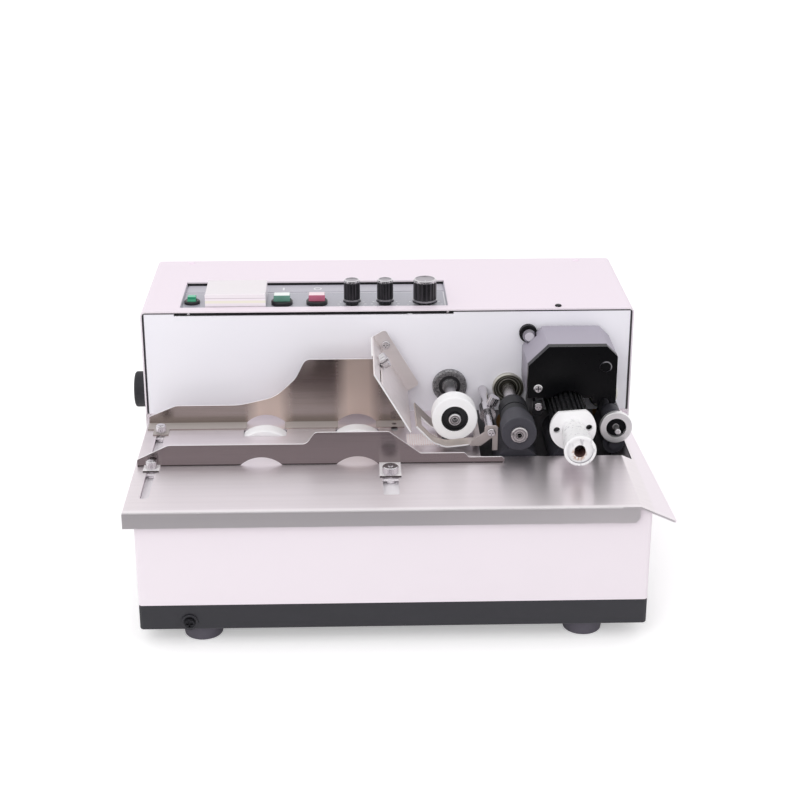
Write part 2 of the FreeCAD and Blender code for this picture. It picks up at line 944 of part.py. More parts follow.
def make_base_tray():
    outer = box(-half_base, half_base, base_front_y, base_back_y, foot_height, tray_top_z)
    outer = outer.makeFillet(base_corner_r,
                             edges_where(outer, lambda b: b.ZLength > sheet and b.XLength < 0.01
                                                        and b.YLength < 0.01))
    outer = outer.makeFillet(tray_edge_r, edges_where(outer, lambda b: b.ZMax < foot_height + 0.01))
    pan = outer.cut(box(-half_base + sheet, half_base - sheet, base_front_y + sheet, base_back_y - sheet,
                        tray_floor_z, tray_top_z + 1))
    step = sheet + tray_lip_gap
    lip = box(-half_base + step, half_base - step, base_front_y + step, base_back_y - step,
              tray_floor_z, tray_top_z + tray_lip)
    reach = step + sheet
    core = box(-half_base + reach, half_base - reach, base_front_y + reach, base_back_y - reach,
               tray_floor_z, tray_top_z + tray_lip + 1)
    seam = box(-half_base + sheet / 2, half_base - sheet / 2, base_front_y + sheet / 2,
               base_back_y - sheet / 2,
               tray_floor_z, tray_top_z)
    tray = fuse_all([pan, lip.cut(core), seam.cut(core)])
    boss = rod_y(tray_screw_x, tray_screw_z, tray_boss_r, base_front_y - tray_boss, base_front_y + sheet / 2)
    boss = boss.common(box(-half_base, half_base, base_front_y - tray_boss, base_back_y, foot_height,
                           tray_top_z))
    holes = [rod_z(x, y, foot_screw_r + running_fit, foot_height - 1, tray_floor_z + 1)
             for x, y in foot_centres()]
    holes.append(rod_y(tray_screw_x, tray_screw_z, foot_screw_r + running_fit, base_front_y - 2 * tray_boss,
                       base_front_y + reach + 1))
    return cut_all(fuse_all([tray, boss]), holes)


def make_rubber_feet():
    feet = []
    for x, y in foot_centres():
        foot = Part.makeCone(foot_r - foot_taper, foot_r, foot_height, V(x, y, 0), Z_AXIS)
        foot = foot.makeFillet(foot_edge_r, edges_where(foot, lambda b: b.ZMax < 0.01))
        recess = rod_z(x, y, foot_recess_r, -1, foot_recess)
        hole = rod_z(x, y, foot_screw_r + running_fit, -1, foot_height + 1)
        feet.append(cut_all(foot, [recess, hole]))
    return group(feet)


def make_foot_screws():
    screws = []
    for x, y in foot_centres():
        head = rod_z(x, y, foot_recess_r - foot_head_clear, foot_recess - foot_screw_head, foot_recess)
        stem = rod_z(x, y, foot_screw_r, foot_recess, tray_floor_z + foot_screw_tip)
        nut = rod_z(x, y, foot_screw_r + foot_nut_wall, tray_floor_z, tray_floor_z + foot_nut)
        screws.append(fuse_all([head, stem, nut]))
    return screws


def make_tray_screw():
    return pan_screw(tray_screw_x, tray_screw_z, tray_screw_r, tray_screw_head, foot_screw_r,
                     2 * sheet + tray_screw_tip, base_front_y - tray_boss)


# Table plate with folded lips, slots, roller bay and chute
def make_table_plate():
    flat = box(table_left_x, table_bend_x, table_front_y, housing_front_y, table_bottom_z, table_top_z)
    front_lip = box(table_left_x, table_bend_x, table_front_y, table_front_y + sheet,
                    table_top_z - lip_height, table_top_z)
    side_lip = box(table_left_x, table_left_x + sheet, table_front_y, housing_front_y,
                   table_top_z - lip_height, table_top_z)
    plate = fuse_all([flat, front_lip, side_lip])
    folds = edges_where(plate, lambda b: b.ZMin > table_top_z - 0.01
                        and (b.YMax < table_front_y + 0.01 or b.XMax < table_left_x + 0.01))
    plate = plate.makeFillet(lip_fold_r, folds)
    corner = edges_where(plate, lambda b: b.XMin > table_bend_x - 1 and b.YLength > sheet / 2
                         and b.ZMax < table_top_z - lip_height + 0.01)
    plate = plate.makeFillet(lip_corner_r, corner)
    shelf = box(-half_housing, half_housing, housing_front_y, base_back_y, table_bottom_z, table_top_z)
    rails = [box(x, x + sheet, housing_front_y, base_back_y, table_top_z - lip_height, table_top_z)
             for x in (-half_housing, half_housing - sheet)]
    plate = fuse_all([plate, make_chute(), shelf] + rails)
    cuts = [roller_bay(), frame_opening(), lower_feed_slot()]
    for x in (feed_left_x, feed_right_x):
        half = math.sqrt(feed_wheel_r ** 2 - (table_bottom_z - feed_shaft_z) ** 2) + wheel_slot_clear
        cuts.append(box(x - half, x + half, feed_wheel_front_y - wheel_slot_clear,
                        feed_wheel_front_y + feed_wheel_width + wheel_slot_clear,
                        table_bottom_z - 1, table_top_z + 1))
    for x, width, y0, y1 in guide_slots():
        corners = rectangle(x - width / 2, x + width / 2, y0, y1, slot_corner_r)
        cuts.append(plate_xy(corners, table_bottom_z - 1, table_top_z + 1))
    return cut_all(plate, cuts)


def guide_slots():
    """Slots that the guides' studs run in: X, width, front and back."""
    return ((slot_left_x, slot_left_width, slot_left_front_y, slot_left_back_y),
            (slot_right_x, slot_right_width, slot_right_front_y, slot_right_back_y),
            (slot_rear_x, slot_rear_width, slot_rear_front_y, slot_rear_back_y))


def make_slot_trays():
    """Pale channels under the two long slots that catch paper dust."""
    trays = []
    for x, width, y0, y1 in guide_slots()[:2]:
        reach = width / 2 + keeper_lap + slot_tray_clear
        left = max(x - reach - slot_tray_sheet, -half_base + sheet + slot_tray_clear / 2)
        right = x + reach + slot_tray_sheet
        front = y0 - slot_tray_end
        back = y1 + slot_tray_end
        shell = box(left, right, front, back, slot_tray_floor_z, table_bottom_z)
        inside_left = max(x - reach, left)
        inside = box(inside_left, x + reach, front + slot_tray_sheet, back - slot_tray_sheet,
                     slot_tray_floor_z + slot_tray_sheet, table_bottom_z + 1)
        trays.append(shell.cut(inside))
    return group(trays)


def make_chute():
    """Outfeed end of the table: one bend, then a leaf that narrows towards the back."""
    drop = math.radians(chute_drop_deg)
    back_y = housing_front_y - panel_gap
    path = [(table_bend_x - lip_height, table_bottom_z), (table_bend_x, table_bottom_z),
            (table_bend_x + 2 * chute_front_reach * math.cos(drop),
             table_bottom_z - 2 * chute_front_reach * math.sin(drop))]
    leaf = bent_sheet(path, sheet, sheet, table_front_y, back_y)
    front_x = table_bend_x + chute_front_reach * math.cos(drop)
    back_x = table_bend_x + chute_back_reach * math.cos(drop)
    left_x = table_bend_x - lip_height
    plan = [(left_x, table_front_y, 0), (front_x, table_front_y, chute_corner_r),
            (back_x, back_y, chute_corner_r), (left_x, back_y, 0)]
    return leaf.common(plate_xy(plan, 0, table_top_z + 1))


def roller_bay():
    return box(bay_left_x, bay_right_x, bay_front_y, panel_rear_y, table_bottom_z - bay_drop, table_top_z + 1)


def frame_opening():
    return box(frame_left_x - frame_clear, frame_right_x + frame_clear / 2, panel_rear_y,
               shaft_end_y + frame_clear, table_bottom_z - 1, table_top_z + 1)


def lower_feed_slot():
    half = math.sqrt(lower_feed_r ** 2 - (table_bottom_z - low_shaft_z) ** 2) + wheel_slot_clear
    return box(separator_x - half, separator_x + half, separator_front_y - wheel_slot_clear,
               separator_front_y + separator_width + wheel_slot_clear, table_bottom_z - 1, table_top_z + 1)


def make_friction_pad():
    pad = box(pad_left_x, pad_right_x, pad_front_y, pad_back_y, table_top_z, table_top_z + pad_thick)
    pitch = (pad_right_x - pad_left_x) / pad_ribs
    grooves = []
    for i in range(1, pad_ribs):
        x = pad_left_x + i * pitch
        grooves.append(box(x - pad_groove / 2, x + pad_groove / 2, pad_front_y - 1, pad_back_y + 1,
                           table_top_z + pad_thick / 2, table_top_z + pad_thick + 1))
    return cut_all(pad, grooves)


# Housing: wrapped cover, front and rear panels
def housing_outline(inset, y0, y1):
    side = half_housing - inset
    top = housing_top_z - inset
    r = max(cover_corner_r - inset, sheet / 2)
    return plate_xz([(-side, table_top_z, 0), (side, table_top_z, 0), (side, top, r), (-side, top, r)], y0,
                    y1)


def make_housing_cover():
    solid = housing_outline(0, housing_front_y, housing_back_y)
    inner = housing_outline(cover_sheet, housing_front_y - 1, housing_back_y + 1)
    below = box(-half_housing + cover_sheet, half_housing - cover_sheet, housing_front_y - 1,
                housing_back_y + 1,
                table_top_z - 1, table_top_z + 1)
    window = box(panel_left_x, panel_right_x, panel_front_y, panel_back_y, housing_top_z - 4,
                 housing_top_z + 1)
    stud = rod_x(side_knob_y, side_knob_z, side_stud_r + running_fit, -half_housing - 1, -half_housing + 4)
    return cut_all(solid, [inner, below, window, stud] + cover_screw_holes())


def cover_screw_spots():
    return [(cover_front_screw_x, housing_front_y + cover_screw_inset),
            (-half_housing + cover_screw_side, housing_back_y - cover_screw_inset),
            (half_housing - cover_screw_side, housing_back_y - cover_screw_inset)]


def cover_screw_holes():
    return [rod_z(x, y, cover_screw_r + running_fit, housing_top_z - panel_flange, housing_top_z + 1)
            for x, y in cover_screw_spots()]


def make_cover_screws():
    screws = []
    for x, y in cover_screw_spots():
        head = rod_z(x, y, cover_screw_head_r, housing_top_z, housing_top_z + cover_screw_head)
        head = head.makeFillet(cover_screw_head * 0.6,
                               edges_where(head, lambda b: b.ZMin > housing_top_z + 0.1))
        stem = rod_z(x, y, cover_screw_r, housing_top_z - 2 * panel_sheet - 2, housing_top_z)
        screws.append(fuse_all([head, stem]))
    return screws


def housing_end(y_outer, y_inner, y_flange):
    """End panel of the housing with the flange along its top that the cover is screwed to."""
    face = housing_outline(panel_edge, min(y_outer, y_inner), max(y_outer, y_inner))
    reach = half_housing - panel_edge - cover_corner_r
    top = housing_top_z - cover_sheet
    flange = box(-reach, reach, min(y_outer, y_flange), max(y_outer, y_flange), top - panel_sheet, top)
    return fuse_all([face, flange])


def make_front_panel():
    face = housing_end(panel_face_y, panel_rear_y, panel_face_y + panel_flange)
    notch = box(strip_left_x, strip_right_x, panel_face_y - 1, panel_front_y + panel_flange,
                housing_top_z - panel_edge - strip_height, housing_top_z)
    cuts = [notch, rod_y(outfeed_x, outfeed_low_z, outfeed_shaft_r + port_clear, panel_face_y - 1,
                         panel_rear_y + 1)]
    ports = [(separator_x, separator_z, separator_shaft_r + bush_wall + running_fit),
             (pull_x, upper_shaft_z, shaft_r + bush_wall + running_fit),
             (print_x, upper_shaft_z, shaft_r + bush_wall + running_fit),
             (outfeed_x, outfeed_z, outfeed_shaft_r + bush_wall + running_fit),
             (guide_rod_x, guide_rod_z, guide_rod_r + running_fit),
             (head_pivot_x, head_pivot_z, pivot_bolt_r + running_fit),
             gate_screw_port()]
    for x, z, r in ports:
        cuts.append(rod_y(x, z, r, panel_face_y - 1, panel_rear_y + 1))
    return cut_all(face, cuts + cover_screw_holes())


def make_rear_panel():
    outer_y = housing_back_y - panel_inset
    face = housing_end(outer_y, outer_y - panel_sheet, outer_y - panel_flange - cover_screw_inset)
    half_w = inlet_width / 2 + running_fit
    half_h = inlet_height / 2 + running_fit
    cuts = [box(inlet_x - half_w, inlet_x + half_w, outer_y - 5, outer_y + 1, inlet_z - half_h,
                inlet_z + half_h)]
    for i in range(rear_vent_count):
        x = rear_vent_left_x + i * rear_vent_pitch
        corners = rectangle(x, x + rear_vent_width, rear_vent_low_z, rear_vent_high_z,
                            rear_vent_width * 0.48)
        cuts.append(plate_xz(corners, outer_y - 5, outer_y + 1))
    return cut_all(face, cuts + cover_screw_holes())


def make_power_inlet():
    y_face = housing_back_y - panel_inset
    half_w = inlet_flange_width / 2
    half_h = inlet_flange_height / 2
    flange = plate_xz(rectangle(inlet_x - half_w, inlet_x + half_w, inlet_z - half_h, inlet_z + half_h, 3),
                      y_face, y_face + inlet_flange)
    body = box(inlet_x - inlet_width / 2, inlet_x + inlet_width / 2, y_face - inlet_depth, y_face + 0.5,
               inlet_z - inlet_height / 2, inlet_z + inlet_height / 2)
    left = inlet_x - inlet_width / 2 + inlet_wall
    right = inlet_x + inlet_width / 2 - inlet_wall
    low = inlet_z - inlet_height / 2 + inlet_wall
    high = inlet_z + inlet_height / 2 - inlet_wall
    bevel = (high - low) / 4
    pocket = plate_xz([(left, low, 1), (right, low, 1), (right, high - bevel, 0), (right - bevel, high, 0),
                       (left + bevel, high, 0), (left, high - bevel, 0)], y_face - inlet_pocket, y_face + 4)
    pins = []
    for dx, dz in ((-inlet_pin_spread, -1.5), (inlet_pin_spread, -1.5), (0, 2.5)):
        x = inlet_x + dx
        z = inlet_z + dz
        pins.append(box(x - inlet_pin_width / 2, x + inlet_pin_width / 2, y_face - inlet_pocket - 1,
                        y_face - 1,
                        z - inlet_pin_height / 2, z + inlet_pin_height / 2))
    return fuse_all([fuse_all([flange, body]).cut(pocket)] + pins)


# Inner frame: two plates, their posts, and the bushes that carry every shaft
def shaft_stations():
    """Every transport shaft: X, Z and radius."""
    return [(feed_left_x, feed_shaft_z, shaft_r), (feed_right_x, feed_shaft_z, shaft_r),
            (separator_x, low_shaft_z, shaft_r), (pull_x, low_shaft_z, shaft_r),
            (print_x, low_shaft_z, shaft_r), (outfeed_x, outfeed_low_z, outfeed_shaft_r),
            (separator_x, separator_z, separator_shaft_r), (pull_x, upper_shaft_z, shaft_r),
            (print_x, upper_shaft_z, shaft_r), (outfeed_x, outfeed_z, outfeed_shaft_r)]


def post_spots():
    low = tray_floor_z + post_inset
    return [(frame_left_x + post_inset, low), (frame_left_x + post_inset, frame_shoulder_z - post_inset),
            (frame_right_x - post_inset, low),
            (frame_right_x - post_inset, frame_head_top_z - 4 * post_inset),
            (frame_head_left_x + 2 * post_inset, frame_head_top_z - post_inset),
            (motor_x - gearbox_half - post_inset, low)]


def frame_sheet(y0):
    y1 = y0 + frame_plate
    r = frame_corner_r
    foot_x = frame_right_x - frame_foot_inset
    foot_z = tray_floor_z + frame_foot_height
    corners = [(frame_left_x, tray_floor_z, r), (foot_x, tray_floor_z, r),
               (foot_x, foot_z, 0), (frame_right_x, foot_z + frame_foot_inset, 0),
               (frame_right_x, frame_head_top_z - frame_head_slope, r),
               (frame_right_x - frame_head_slope, frame_head_top_z, r),
               (frame_head_left_x, frame_head_top_z, r),
               (frame_head_left_x - frame_head_slope, frame_shoulder_z, r),
               (frame_left_x, frame_shoulder_z, r)]
    cuts = [rod_y(motor_x, motor_z, motor_shaft_r + frame_clear, y0 - 1, y1 + 1),
            rod_y(guide_rod_x, guide_rod_z, guide_rod_r + running_fit, y0 - 1, y1 + 1),
            rod_y(head_pivot_x, head_pivot_z, pivot_bolt_r + running_fit, y0 - 1, y1 + 1)]
    gate_x, gate_z, gate_r = gate_screw_port()
    cuts.append(rod_y(gate_x, gate_z, gate_r, y0 - 1, y1 + 1))
    for x, z, r_shaft in shaft_stations():
        cuts.append(rod_y(x, z, r_shaft + bush_wall + running_fit, y0 - 1, y1 + 1))
    for x, z in post_spots():
        cuts.append(rod_y(x, z, post_screw_r + running_fit, y0 - 1, y1 + 1))
    windows = ((frame_left_x + frame_window_margin + post_inset, feed_right_x - frame_window_margin),
               (feed_right_x, motor_x - gearbox_half - frame_window_margin))
    for x0, x1 in windows:
        corners_in = rectangle(x0, x1, frame_window_low_z, frame_window_high_z, r)
        cuts.append(plate_xz(corners_in, y0 - 1, y1 + 1))
    return cut_all(plate_xz(corners, y0, y1), cuts)


def make_frame_posts():
    posts = []
    for x, z in post_spots():
        post = rod_y(x, z, post_r, frame_gap_y, frame_back_y)
        stem = rod_y(x, z, post_screw_r, frame_front_y, frame_rear_y)
        nut = rod_y(x, z, post_screw_r + post_nut_wall, frame_rear_y, frame_rear_y + post_nut)
        posts.append(fuse_all([post, stem, nut]))
    return posts


def make_shaft_bushes():
    bushes = []
    for x, z, r in shaft_stations():
        for y in (frame_front_y, frame_back_y):
            bushes.append(tube_y(x, z, r + bush_wall, r + running_fit, y, y + frame_plate))
    return group(bushes)


def make_panel_collars():
    """Turned collars that fill the panel's holes round the upper shafts."""
    collars = []
    spots = ((separator_x, separator_z, separator_shaft_r, separator_collar_r),
             (pull_x, upper_shaft_z, shaft_r, press_collar_r),
             (print_x, upper_shaft_z, shaft_r, type_collar_r),
             (outfeed_x, outfeed_z, outfeed_shaft_r, outfeed_collar_r))
    y0 = panel_face_y - collar_reach
    for x, z, r, collar_r in spots:
        face = rod_y(x, z, collar_r, y0, panel_face_y)
        face = face.makeChamfer(collar_chamfer, edges_where(face, lambda b: b.YMax < y0 + 0.01))
        neck = rod_y(x, z, r + bush_wall, panel_face_y, frame_front_y)
        ring = tube_y(x, z, collar_r - collar_rim, r + collar_cup_lip, y0 - 1, y0 + collar_cup)
        bore = rod_y(x, z, r + running_fit, y0 - 1, frame_front_y + 1)
        collars.append(cut_all(fuse_all([face, neck]), [ring, bore]))
    return group(collars)


# Motor and belts
def make_gear_motor():
    y0 = frame_rear_y
    y1 = y0 + gearbox_length
    y2 = y1 + motor_length
    can = rod_y(motor_x, motor_z, motor_r, y1, y2)
    can = can.makeFillet(motor_edge_r, edges_where(can, lambda b: b.YMin > y2 - 0.01))
    corners = rectangle(motor_x - gearbox_half, motor_x + gearbox_half, motor_z - gearbox_half,
                        motor_z + gearbox_half, gearbox_corner_r)
    cap = rod_y(motor_x, motor_z, motor_cap_r, y2, y2 + motor_cap)
    seat = rod_y(motor_x, motor_z, motor_shaft_r + running_fit, y0 - 1, y0 + motor_seat)
    return fuse_all([can, plate_xz(corners, y0, y1), cap]).cut(seat)


def make_motor_pulley():
    shaft = rod_y(motor_x, motor_z, motor_shaft_r, motor_belt_y - drive_gap, frame_rear_y + motor_seat - 1)
    return fuse_all([shaft, pulley(motor_x, motor_z, pulley_r, pulley_flange_r, motor_belt_y)])


def make_drive_belts():
    """Motor to impression roller, on to the lower rollers and the feed wheels, and out to the outfeed."""
    impression_axis = (print_x, low_shaft_z)
    separator_axis = (separator_x, low_shaft_z)
    feed_axis = (feed_right_x, feed_shaft_z)
    return group([
        belt((motor_x, motor_z), pulley_r, impression_axis, pulley_r, motor_belt_y),
        belt(separator_axis, pulley_r, impression_axis, pulley_r, feed_belt_y),
        belt(feed_axis, feed_drive_r, separator_axis, pulley_r, gear_y),
        belt((feed_left_x, feed_shaft_z), pulley_r, feed_axis, pulley_r, feed_belt_y),
        belt(impression_axis, outfeed_big_pulley_r, (outfeed_x, outfeed_low_z), outfeed_small_pulley_r,
             outfeed_belt_y)])


# Lower rollers and feed wheels: a turned steel axle with a rubber cover bonded round it
def make_feed_wheel(x, drives):
    y0 = feed_wheel_front_y
    y1 = y0 + feed_wheel_width
    core_r = feed_wheel_r - feed_wheel_wall
    tyre = rod_y(x, feed_shaft_z, feed_wheel_r, y0, y1)
    tyre = tyre.makeChamfer(roller_edge_r, edges_where(tyre, lambda b: b.YLength < 0.01))
    tyre = tyre.cut(rod_y(x, feed_shaft_z, core_r, y0 - 1, y1 + 1))
    hub = rod_y(x, feed_shaft_z, core_r, y0 + hub_step, y1 - hub_step)
    spindle = rod_y(x, feed_shaft_z, shaft_r, y0 - shaft_lead, shaft_end_y)
    return group([fuse_all([hub, spindle] + drives), tyre])


def make_feed_wheel_left():
    return make_feed_wheel(feed_left_x, [pulley(feed_left_x, feed_shaft_z, pulley_r, pulley_flange_r,
                                                feed_belt_y)])


def make_feed_wheel_right():
    big_flange_r = feed_drive_r + pulley_flange_r - pulley_r
    drives = [pulley(feed_right_x, feed_shaft_z, pulley_r, pulley_flange_r, feed_belt_y),
              pulley(feed_right_x, feed_shaft_z, feed_drive_r, big_flange_r, gear_y)]
    return make_feed_wheel(feed_right_x, drives)


def low_roller(x, z, r, y0, y1, spindle_r, drives):
    core_r = r - rubber_wall
    cover = tube_y(x, z, r, core_r, y0, y1)
    core = rod_y(x, z, core_r, y0, y1)
    spindle = rod_y(x, z, spindle_r, y0 - shaft_lead, shaft_end_y)
    return group([fuse_all([core, spindle] + drives), cover])


def feed_belt_pulley(x):
    return pulley(x, low_shaft_z, pulley_r, pulley_flange_r, feed_belt_y)


def make_lower_feed_roller():
    return low_roller(separator_x, low_shaft_z, lower_feed_r, separator_front_y,
                      separator_front_y + separator_width, shaft_r,
                      [feed_belt_pulley(separator_x),
                       pulley(separator_x, low_shaft_z, pulley_r, pulley_flange_r, gear_y)])


def make_lower_pull_roller():
    return low_roller(pull_x, low_shaft_z, lower_pull_r, pull_front_y, press_front_y + press_length, shaft_r,
                      [feed_belt_pulley(pull_x)])


def make_impression_roller():
    big_flange_r = outfeed_big_pulley_r + pulley_flange_r - pulley_r
    drives = [feed_belt_pulley(print_x), gear(print_x, low_shaft_z, gear_y, gear_y + gear_width,
                                              math.pi / 2),
              pulley(print_x, low_shaft_z, pulley_r, pulley_flange_r, motor_belt_y),
              pulley(print_x, low_shaft_z, outfeed_big_pulley_r, big_flange_r, outfeed_belt_y)]
    return low_roller(print_x, low_shaft_z, impression_r, type_front_y + type_disc_thick + type_disc_gap,
                      impression_back_y, shaft_r, drives)


def make_lower_outfeed_roller():
    small_flange_r = outfeed_small_pulley_r + pulley_flange_r - pulley_r
    drive = pulley(outfeed_x, outfeed_low_z, outfeed_small_pulley_r, small_flange_r, outfeed_belt_y)
    return low_roller(outfeed_x, outfeed_low_z, outfeed_low_r, outfeed_front_y + outfeed_low_inset,
                      outfeed_front_y + outfeed_length, outfeed_shaft_r, [drive])


# Separator wheel
def make_separator_wheel():
    y0 = separator_front_y
    wheel = rod_y(separator_x, separator_z, separator_wheel_r, y0, y0 + separator_width)
    wheel = wheel.makeFillet(roller_edge_r, edges_where(wheel, lambda b: b.YLength < 0.01))
    return wheel.cut(rod_y(separator_x, separator_z, separator_hub_r, y0 - 1, y0 + separator_width + 1))


def make_separator_hub():
    y0 = separator_front_y + separator_dish / 2
    hub = tube_y(separator_x, separator_z, separator_hub_r, separator_shaft_r, y0,
                 separator_front_y + separator_width)
    dish = tube_y(separator_x, separator_z, separator_hub_r - separator_dish_rim, separator_nose_r,
                  y0 - 1, y0 + separator_dish)
    return hub.cut(dish)


def make_separator_shaft():
    y0 = separator_front_y - separator_nose
    y1 = separator_front_y + separator_dish / 2
    nose = rod_y(separator_x, separator_z, separator_nose_r, y0, y1)
    nose = nose.makeChamfer(0.6, edges_where(nose, lambda b: b.YMax < y0 + 0.01))
    shaft = rod_y(separator_x, separator_z, separator_shaft_r, y1, shaft_end_y)
    socket = rod_y(separator_x, separator_z, separator_socket_r, y0 - 1, y1)
    return fuse_all([nose, shaft, retaining_clip(separator_x, separator_z, separator_shaft_r)]).cut(socket)


# Pressing roller
def make_press_roller():
    y0 = press_front_y
    y1 = y0 + press_step
    y2 = y0 + press_length
    front = rod_y(pull_x, upper_shaft_z, press_r, y0, y1)
    front = front.makeFillet(roller_edge_r, edges_where(front, lambda b: b.YLength < 0.01))
    waist = rod_y(pull_x, upper_shaft_z, press_rear_r - press_groove, y1, y1 + press_groove_width)
    rear = rod_y(pull_x, upper_shaft_z, press_rear_r, y1 + press_groove_width, y2)
    groove = tube_y(pull_x, upper_shaft_z, press_rear_r + 1, press_rear_r - press_groove,
                    y2 - press_groove_back, y2 - press_groove_back + press_groove_width)
    bore = rod_y(pull_x, upper_shaft_z, shaft_r, y0 - 1, y2 + 1)
    return cut_all(fuse_all([front, waist, rear]), [groove, bore])


def make_press_shaft():
    y0 = press_front_y - press_nose
    nose = rod_y(pull_x, upper_shaft_z, press_nose_r, y0, press_front_y)
    nose = nose.makeChamfer(0.7, edges_where(nose, lambda b: b.YMax < y0 + 0.01))
    shaft = rod_y(pull_x, upper_shaft_z, shaft_r, press_front_y, shaft_end_y)
    notch_x = pull_x - press_nose_r
    notch = box(notch_x - 1, notch_x + press_notch, y0 - 1, y0 + press_nose / 2,
                upper_shaft_z, upper_shaft_z + press_notch)
    bore = rod_y(pull_x, upper_shaft_z, press_bore_r, y0 - 1, y0 + press_bore)
    body = fuse_all([nose, shaft, retaining_clip(pull_x, upper_shaft_z, shaft_r)])
    return cut_all(body, [notch, bore])


# Type wheel: grooved drum, clamping disc, hub and shaft
def make_type_drum():
    y0 = type_front_y + type_disc_thick
    y1 = type_front_y + type_length
    half = math.pi * type_r / type_ribs * type_groove_share
    cutters = []
    for i in range(type_ribs):
        groove = box(type_r - type_groove, type_r + 1, y0 - 1, y1 + 1, -half, half)
        groove.rotate(V(0, 0, 0), Y_AXIS, 360.0 * i / type_ribs)
        groove.translate(V(print_x, 0, upper_shaft_z))
        cutters.append(groove)
    drum = rod_y(print_x, upper_shaft_z, type_r, y0, y1).cut(cutters[0].multiFuse(cutters[1:]))
    return drum.cut(rod_y(print_x, upper_shaft_z, shaft_r, y0 - 1, y1 + 1))


def turned_type(shape):
    """The type wheel stands a few degrees round from square."""
    shape.rotate(V(print_x, 0, upper_shaft_z), Y_AXIS, -type_turn_deg)
    return shape


def make_type_disc():
    y0 = type_front_y
    y1 = y0 + type_disc_thick
    flat_z = upper_shaft_z + type_disc_flat
    cuts = [box(print_x - type_disc_r, print_x + type_disc_r, y0 - 1, y1 + 1, flat_z, flat_z + type_disc_r),
            rod_y(print_x, upper_shaft_z, shaft_r, y0 - 1, y1 + 1)]
    for side in (-1, 1):
        cuts.append(rod_y(print_x + side * type_pin_pitch, upper_shaft_z, type_pin_r, y0 - 1, y1 + 1))
    return turned_type(cut_all(rod_y(print_x, upper_shaft_z, type_disc_r, y0, y1), cuts))


def make_type_hub():
    """Cone that the type wheel is pulled off by, with a cup and a bore in its mouth and a set screw."""
    y1 = type_front_y
    y0 = y1 - type_hub_length
    cone = Part.makeCone(type_mouth_r, type_hub_r, type_hub_length, V(print_x, y0, upper_shaft_z), Y_AXIS)
    cone = cone.makeChamfer(type_mouth_edge, edges_where(cone, lambda b: b.YMax < y0 + 0.01))
    cuts = [rod_y(print_x, upper_shaft_z, type_mouth_r - type_cup_rim, y0 - 1, y0 + type_cup),
            rod_y(print_x, upper_shaft_z, type_bore_r, y0 - 1, y0 + type_bore),
            rod_y(print_x, upper_shaft_z, shaft_r, y0 + type_bore, y1 + 1),
            rod_z(print_x, y1 - type_set_screw_back, type_set_screw_r, upper_shaft_z,
                  upper_shaft_z + type_mouth_r)]
    return turned_type(cut_all(cone, cuts))


def make_type_shaft():
    shaft = rod_y(print_x, upper_shaft_z, shaft_r, type_front_y - type_hub_length + type_bore, shaft_end_y)
    turn = math.pi / gear_teeth - math.pi / 2
    return fuse_all([shaft, gear(print_x, upper_shaft_z, gear_y, gear_y + gear_width, turn)])


# Outfeed roller with its ring and shaft
def make_outfeed_roller():
    y1 = outfeed_front_y + outfeed_length
    body = tube_y(outfeed_x, outfeed_z, outfeed_r, outfeed_shaft_r, outfeed_front_y, y1)
    pitch = outfeed_length / (outfeed_grooves + 1)
    cuts = []
    for i in range(1, outfeed_grooves + 1):
        y = outfeed_front_y + i * pitch
        cuts.append(tube_y(outfeed_x, outfeed_z, outfeed_r + 1, outfeed_r - outfeed_groove, y,
                           y + outfeed_groove_width))
    return cut_all(body, cuts)


def make_outfeed_shaft():
    y0 = outfeed_front_y - outfeed_ring
    ring = rod_y(outfeed_x, outfeed_z, outfeed_ring_r, y0, outfeed_front_y)
    ring = round_front(ring, y0, roller_edge_r)
    ring = ring.cut(rod_y(outfeed_x, outfeed_z, outfeed_ring_r - outfeed_ring_wall, y0 - 1,
                          y0 + outfeed_ring_dish))
    tip = rod_y(outfeed_x, outfeed_z, outfeed_tip_r, y0 + outfeed_ring_dish - outfeed_tip,
                y0 + outfeed_ring_dish)
    tip = round_front(tip, y0 + outfeed_ring_dish - outfeed_tip, roller_edge_r)
    shaft = rod_y(outfeed_x, outfeed_z, outfeed_shaft_r, y0 + outfeed_ring_dish, shaft_end_y)
    return fuse_all([ring, shaft, tip, retaining_clip(outfeed_x, outfeed_z, outfeed_shaft_r)])


# Paper guides with their feet, thumb nuts and keepers
def arch(x, half, height, y0, y1):
    """Bow-shaped clearance over a feed wheel, half wide and height high above the table."""
    r = (half ** 2 + height ** 2) / (2 * height)
    return rod_y(x, table_top_z + height - r, r, y0, y1)


def guide_tab(x, half, y0, y1):
    return box(x - half, x + half, y0, y1, table_top_z, table_top_z + guide_sheet)


